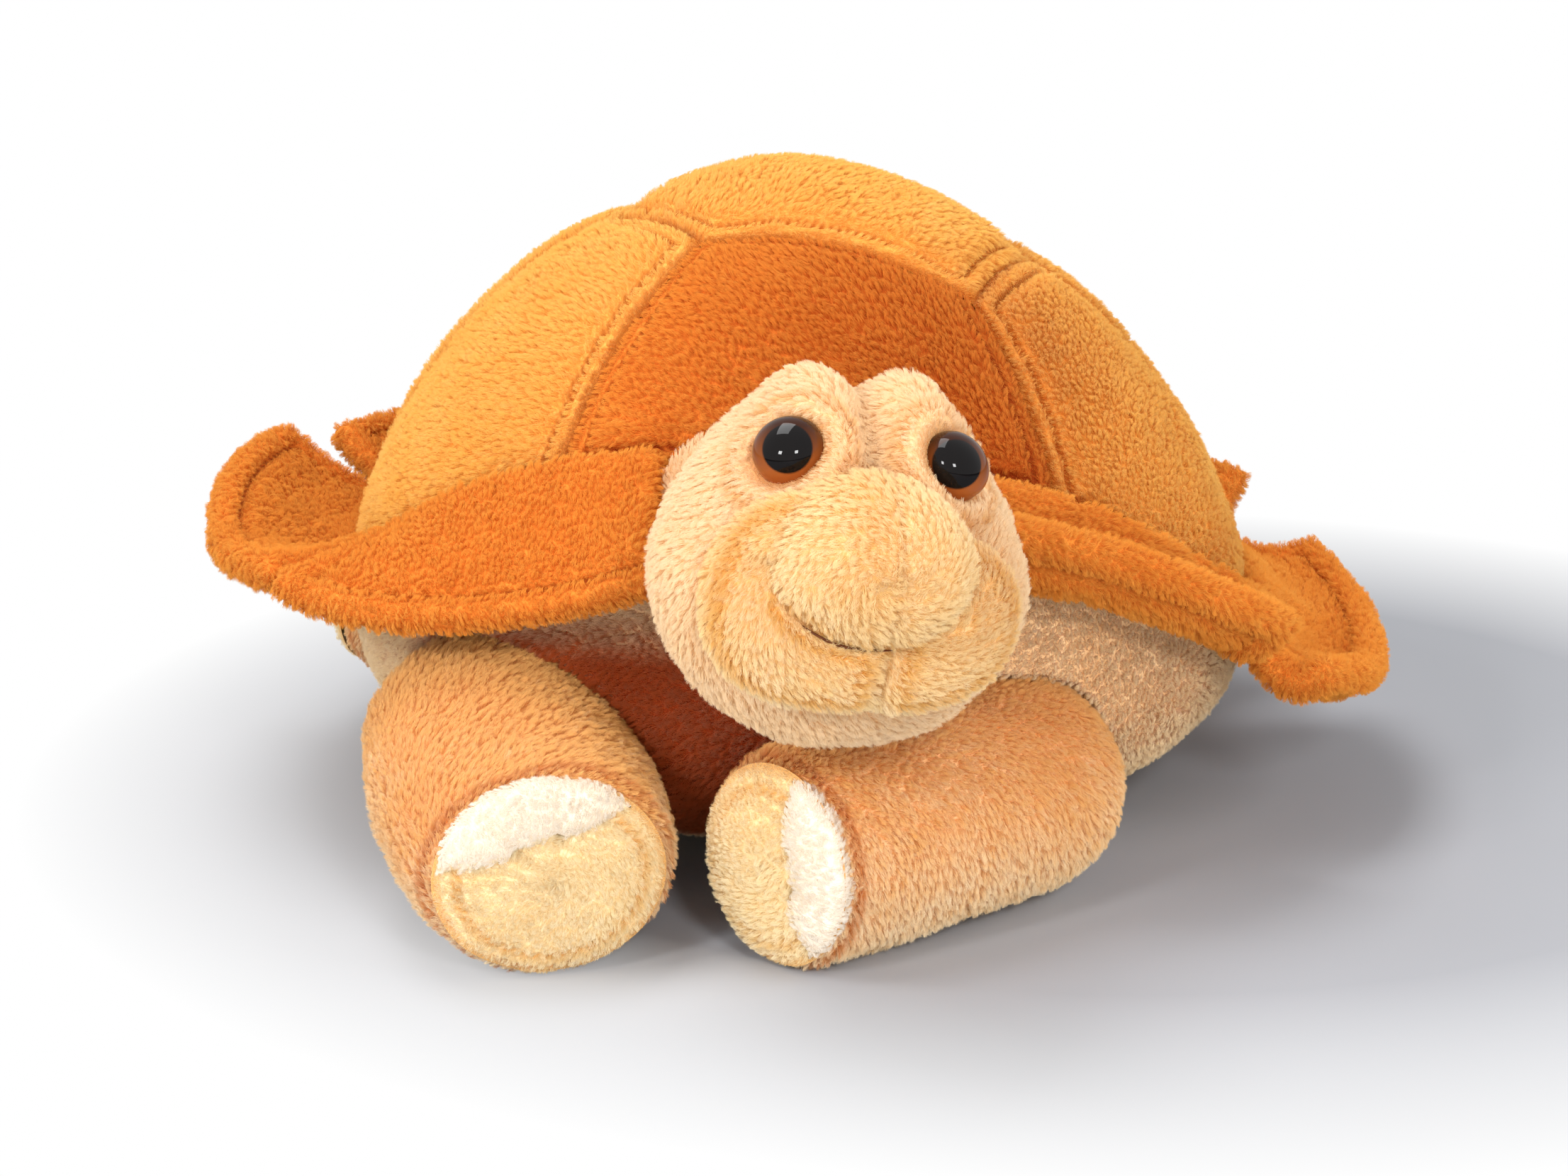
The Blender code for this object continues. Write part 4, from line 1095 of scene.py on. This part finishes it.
def build_sole(name, leg, seed):
    toes = math.radians(leg.toes)
    inside = leg.shoulder

    def spot(x, y, out):
        """A place on the sole: y runs towards the toes."""
        across = x * math.sin(toes) + y * math.cos(toes)
        up = -x * math.cos(toes) + y * math.sin(toes)
        point = leg.shoulder + leg.along * (leg.length + out)[:, None]
        point = point + leg.across * (across * leg.sole[0])[:, None]
        point[:, 2] = leg.level + up * leg.sole[1]
        return point

    def pad_place(u, v):
        turn = TURN * u
        x, y = np.cos(turn) * v, np.sin(turn) * v
        dome = SOLE_DOME * (1.0 - v**2.4) - 0.0006
        between = hill(np.abs(np.degrees(turn) - 90.0) - 27.0, 9.0) * hill(v - 0.6, 0.28)
        return spot(x * 0.99, y * 0.99, dome - 0.0026 * between)

    def strip_place(u, v):
        s = 2.0 * u - 1.0
        turn = np.radians(TOE_SPREAD * s)
        end = held(1.0 - np.abs(s) ** 3) ** 0.5
        lobes = np.abs(np.cos(s * 1.5 * math.pi))
        inner = 1.0 - 0.6 * mix(0.1, 1.0, end) * mix(0.88, 1.0, lobes)
        outer = mix(0.93, 1.012, end)
        over = np.sin(math.pi / 2.0 * np.minimum(v / 0.8, 1.0))
        under = np.maximum(v - 0.8, 0.0) / 0.2
        reach = mix(inner, outer, over) - 0.08 * under
        puff = 0.0036 * np.sin(math.pi * v) ** 0.6 * end * mix(0.75, 1.0, lobes)
        base = SOLE_DOME * (1.0 - np.minimum(reach, 1.0) ** 2.4) - 0.0008
        tuck = 0.003 * np.maximum(v - 0.6, 0.0) / 0.4 + 0.0016 * under
        return spot(reach * np.sin(turn), reach * np.cos(turn), base + puff - tuck)

    relief = soft((0.0004, 0.008, seed + 5))
    size, edge = (0.14, 0.028), to_end(leg.sole[0])
    pad = sew(name + "_sole_pad", 110, 34, pad_place, inside, relief, size, edge)
    dress(pad, "pad", name + "_leg", [name + "_sole_pad"], comb=-0.4)
    strip = sew(name + "_toe_strip", 80, 22, strip_place, inside, relief, (0.07, 0.011))
    dress(strip, "toe", name + "_leg", [name + "_toe_strip"], length=0.0012)


for seed, (name, leg) in enumerate(LEGS.items()):
    build_leg(name, leg, 70 + seed * 9)

# %% [markdown]
# ## The rim flaps
# Each flap is a doubled, lightly padded leaf sewn into the rim seam. It leaves the seam
# downwards and turns up to its edge, as the photograph shows. A row of stitching about 9 mm in
# from its edge makes a plump border. One grid goes out along the top and back underneath.

# %% Flaps
FLAP_LENGTH = 0.047
FLAP_THICKNESS = 0.0064
FLAP_STITCH = 0.009
FLAP_STEP = 0.0011
# The seam's two angles at the rim; how far out, aside and up the edge lies from the seam at its
# start, middle and end; slopes at the seam and at the edge; how strongly both pull the leaf.
FLAPS = {
    "front_right": (
        (-21.0, -62.0),
        ((0.655, 0.22, -0.5), (0.745, 0.05, -0.62), (0.805, 0.06, -0.17)),
        (-45.0, -30.0), (-62.0, -12.0), (0.75, 0.85),
    ),
    "side_right": (
        (-63.0, -115.6),
        ((0.795, 0.04, -0.11), (0.83, -0.06, 0.28), (0.825, 0.27, 0.38)),
        (-28.0, -15.0), (0.0, 45.0), (0.8, 0.95),
    ),
    "rear_right": (
        (-116.6, -179.4),
        ((0.795, -0.24, 0.28), (0.765, 0.08, 0.28), (0.755, 0.03, 0.21)),
        (-12.0, -12.0), (42.0, 35.0), (0.85, 0.95),
    ),
    "front_left": (
        (18.0, 60.0),
        ((0.715, 0.08, -0.04), (0.725, -0.06, -0.13), (0.635, -0.07, -0.18)),
        (-56.0, -62.0), (70.0, 50.0), (1.5, 1.35),
    ),
    "side_left": (
        (61.0, 115.0),
        ((0.735, 0.06, -0.44), (0.8, 0.08, -0.3), (0.775, -0.3, -0.12)),
        (-55.0, -36.0), (55.0, 25.0), (1.25, 0.95),
    ),
    "rear_left": (
        (116.0, 179.4),
        ((0.705, 0.36, 0.19), (0.745, -0.03, 0.11), (0.755, 0.0, 0.13)),
        (-25.0, -14.0), (50.0, 35.0), (0.95, 0.95),
    ),
}


def body_normal(angle, latitude):
    across = body_point(angle, latitude + 1.0) - body_point(angle, latitude - 1.0)
    level = compass(angle, 1.0, 0.0)
    out = (across * level).sum(axis=1)
    length = np.hypot(out, across[:, 2])
    normal = level * (across[:, 2] / length)[:, None]
    normal[:, 2] -= out / length
    return normal


def flap_place(seam, shares, seam_slope, edge_slope, pulls):
    start, middle, end = (np.array(share) * FLAP_LENGTH for share in shares)

    def place(u, v):
        angle = mix(*seam, u)
        slope = np.radians(mix(*seam_slope, u))
        rise = np.radians(mix(*edge_slope, u))
        pull = (mix(*pulls, u) * FLAP_LENGTH)[:, None]
        latitude = seam_latitude(angle)
        root = body_point(angle, latitude)
        level = compass(angle, 1.0, 0.0)
        aside = stack(-level[:, 1], level[:, 0], 0.0)
        run = u[:, None]
        reach = (1 - run) * (1 - 2 * run) * start + 4 * run * (1 - run) * middle
        reach = reach + run * (2 * run - 1) * end
        edge = root + level * reach[:, :1] + aside * reach[:, 1:2] + stack(0.0, 0.0, reach[:, 2])
        normal = body_normal(angle, latitude)
        facing = stack(0.0, 0.0, np.cos(slope)) - level * np.sin(slope)[:, None]
        lift = FLAP_THICKNESS / 2.0 * np.abs((normal * facing).sum(axis=1)) - 0.001
        root = root + normal * lift[:, None]
        outward = unit((edge - root) * (1.0, 1.0, 0.0))
        leave = outward * np.cos(slope)[:, None] + stack(0.0, 0.0, np.sin(slope))
        arrive = outward * np.cos(rise)[:, None] + stack(0.0, 0.0, np.sin(rise))
        t = v[:, None]
        point = mix(root, edge, 3.0 * t**2 - 2.0 * t**3)
        return point + leave * pull * (t**3 - 2.0 * t**2 + t) + arrive * pull * (t**3 - t**2)

    return place


def build_flap(name, sizes, seed):
    middle = flap_place(*sizes)
    ends = middle(np.array((0.0, 1.0)), np.full(2, 0.6))
    width, depth = float(span(ends[:1], ends[1:])[0]), FLAP_LENGTH * 1.25

    def ease(share):
        """Puts more of the grid's lines near both ends."""
        return (1.0 - np.cos(math.pi * held(share))) / 2.0 * 0.45 + share * 0.55

    def fold(u, v):
        t = np.abs(2.0 * v - 1.0)
        return ease(u), ease(1.0 - t), np.where(v < 0.5, 1.0, -1.0)

    def rim(u, v):
        across, out, _ = fold(u, v)
        side = np.minimum(across, 1.0 - across) * width
        return np.minimum(side, (1.0 - out) * depth)

    def place(u, v):
        across, out, face = fold(u, v)
        distance = rim(u, v)
        half = FLAP_THICKNESS / 2.0 * np.sqrt(1.0 - (1.0 - held(distance / 0.004)) ** 2)
        half = half * (1.0 - 0.45 * hill(edge(u, v) - TOPSTITCH, 0.0022))
        half = half + 0.0008 * hill(distance - 0.0045, 0.003)
        half = half * held(distance / 0.0002) * np.sqrt(held(out * depth / 0.0015))
        step = 0.004
        safe = np.clip(out, step, 1.0 - step)
        aside = middle(across + step, safe) - middle(across - step, safe)
        ahead = middle(across, safe + step) - middle(across, safe - step)
        normal = unit(np.cross(aside, ahead))
        normal *= np.sign(normal[:, 2].mean())
        spot = middle(across, out)
        wave = 0.0006 * cloudy(spot, 0.011, seed) * held(distance / 0.004)
        bumpy = 0.0004 * cloudy(stack(across * width, out * depth, face * 0.05), 0.0045, seed + 2)
        bumpy = bumpy * hill(distance - 0.005, 0.006) * held(half / 0.002)
        return spot + normal * (face * (half + bumpy) + wave)[:, None]

    def edge(u, v):
        """As for a panel: the stitch row is at TOPSTITCH. A front flap's inner end has none."""
        across, out, _ = fold(u, v)
        near = (1.0 - across) if name.startswith("front") else np.minimum(across, 1.0 - across)
        return TOPSTITCH + np.abs(np.minimum(near * width, (1.0 - out) * depth) - FLAP_STITCH)

    body = name + "_flap"
    size = (width, 2.0 * depth)
    steps = [int(side / FLAP_STEP) for side in size]
    flap = sew(body, *steps, place, None, None, size, edge)
    bm = bmesh.new()
    bm.from_mesh(flap.data)
    bmesh.ops.recalc_face_normals(bm, faces=bm.faces)
    if bm.calc_volume(signed=True) < 0.0:
        bmesh.ops.reverse_faces(bm, faces=bm.faces)
    bm.to_mesh(flap.data)
    bm.free()
    flap.data.shade_smooth()
    dress(flap, "flap", body, [body], comb=0.5, parted=True)


for seed, (name, sizes) in enumerate(FLAPS.items()):
    build_flap(name, sizes, 120 + seed * 5)

# %% [markdown]
# ## The tail
# A short stuffed cone under the rear rim, which the photograph doesn't show but such a turtle has.

# %% Tail
TAIL_RADIUS = 0.0095
TAIL_LENGTH = 0.019
TAIL_PIVOT = np.array((0.00023, 0.119648, 0.024725))


def tail_place(u, v):
    turn, away = TURN * u, TURN / 2.0 * v
    y = -np.cos(away)
    far = np.maximum(y, 0.0)
    narrow = TAIL_RADIUS * mix(1.0, 0.45, far) * np.sin(away)
    back = y * TAIL_RADIUS + far * TAIL_LENGTH
    return TAIL_PIVOT + stack(np.cos(turn) * narrow, back, np.sin(turn) * narrow - far * 0.004)


tail = sew("tail", 50, 44, tail_place, TAIL_PIVOT, soft((0.0004, 0.007, 151)), (0.05, 0.05))
dress(tail, "limb", "tail", ["tail"])

# %% [markdown]
# ## Floor, light and camera
# The toy lies on a grey floor that fades to white further out: the grey round it is painted
# shadow, and the lamps' own shadows fall on it too. A soft lamp hangs over it, one stands at
# either side, and a low wide one far in front lights the face. Only the top lamp and the two
# small sparks show in the eyes. Left and right are the viewer's here.

# %% Floor and world
PAINTED_SHADOW_REACH, PAINTED_SHADOW_FADE = 0.18, 0.11
WORLD_LIGHT = 0.2
WHITE = colour(1.0, 1.0, 1.0)


def build_floor():
    bm = bmesh.new()
    bmesh.ops.create_grid(bm, x_segments=1, y_segments=1, size=6.0)
    floor = shown(bm, "floor")
    # The floor is set off to the right, so that its grey painted shadow reaches further on that side.
    floor.location = (0.08, 0.01, 0.0)
    finish = Finish("white_sweep")
    seen = finish.node("ShaderNodeLightPath", output=0)
    away = finish.vectors("LENGTH", finish.place(), output=1)
    # Grey near the toy as painted shadow, white further out to the camera.
    far = ((away - PAINTED_SHADOW_REACH) / PAINTED_SHADOW_FADE).held()
    finish.put(Base_Color=colour(0.43, 0.44, 0.47), Roughness=0.8, Specular_IOR_Level=0.1)
    white = finish.node("ShaderNodeEmission", None, {"Color": WHITE})
    finish.blend(far * seen, white)
    floor.data.materials.append(finish.material)


def build_world():
    """White to the camera and in mirrors, and a weak light to everything else."""
    world = bpy.data.worlds.new("studio")
    world.use_nodes = True
    tree = world.node_tree
    back = tree.nodes["Background"]
    path = tree.nodes.new("ShaderNodeLightPath")
    level = path.outputs["Is Camera Ray"]
    for other in ("Is Glossy Ray", "Is Transmission Ray"):
        either = tree.nodes.new("ShaderNodeMath")
        either.operation = "MAXIMUM"
        tree.links.new(level, either.inputs[0])
        tree.links.new(path.outputs[other], either.inputs[1])
        level = either.outputs[0]
    strength = tree.nodes.new("ShaderNodeMapRange")
    strength.inputs["To Min"].default_value = WORLD_LIGHT
    strength.inputs["To Max"].default_value = 1.0
    tree.links.new(level, strength.inputs["Value"])
    tree.links.new(strength.outputs["Result"], back.inputs["Strength"])
    back.inputs["Color"].default_value = WHITE
    bpy.context.scene.world = world


build_floor()
build_world()

# %% Lamps and camera
def lamp(name, place, aim, size, power, mirrored=False):
    light = bpy.data.lights.new(name, "AREA")
    light.shape = "RECTANGLE"
    light.size, light.size_y = size
    light.energy = power
    holder = placed(name, light)
    holder.location = place
    way = Vector(aim) - Vector(place)
    holder.rotation_euler = way.to_track_quat("-Z", "Y").to_euler()
    holder.visible_glossy = mirrored


lamp("top_lamp", (-0.3, 0.15, 1.3), (0.0, 0.0, 0.05), (0.8, 0.55), 9.5, True)
lamp("left_lamp", (-1.0, -0.55, 0.85), (0.0, 0.0, 0.06), (0.6, 0.6), 7.4)
lamp("right_lamp", (1.05, -0.45, 0.7), (0.0, 0.0, 0.06), (0.8, 0.8), 7.0)
lamp("front_lamp", (0.05, -1.85, 0.2), (0.0, 0.0, 0.07), (1.4, 0.3), 13.0)
lamp("spark_left", (-0.75, -1.2, 0.72), (0.0, -0.1, 0.1), (0.22, 0.22), 7.0, True)
lamp("spark_right", (0.3, -1.35, 0.72), (0.0, -0.1, 0.1), (0.22, 0.22), 7.0, True)

camera = bpy.data.cameras.new("camera")
camera.sensor_width, camera.lens = 36.0, 90.0
viewer = placed("camera", camera)
viewer.location = (-0.0036, -1.02, 0.325)
viewer.rotation_euler = (math.radians(75.0), 0.0, 0.0)
bpy.context.scene.camera = viewer
bpy.context.scene.view_settings.view_transform = "Standard"

# %% Finish
bpy.context.view_layer.update()
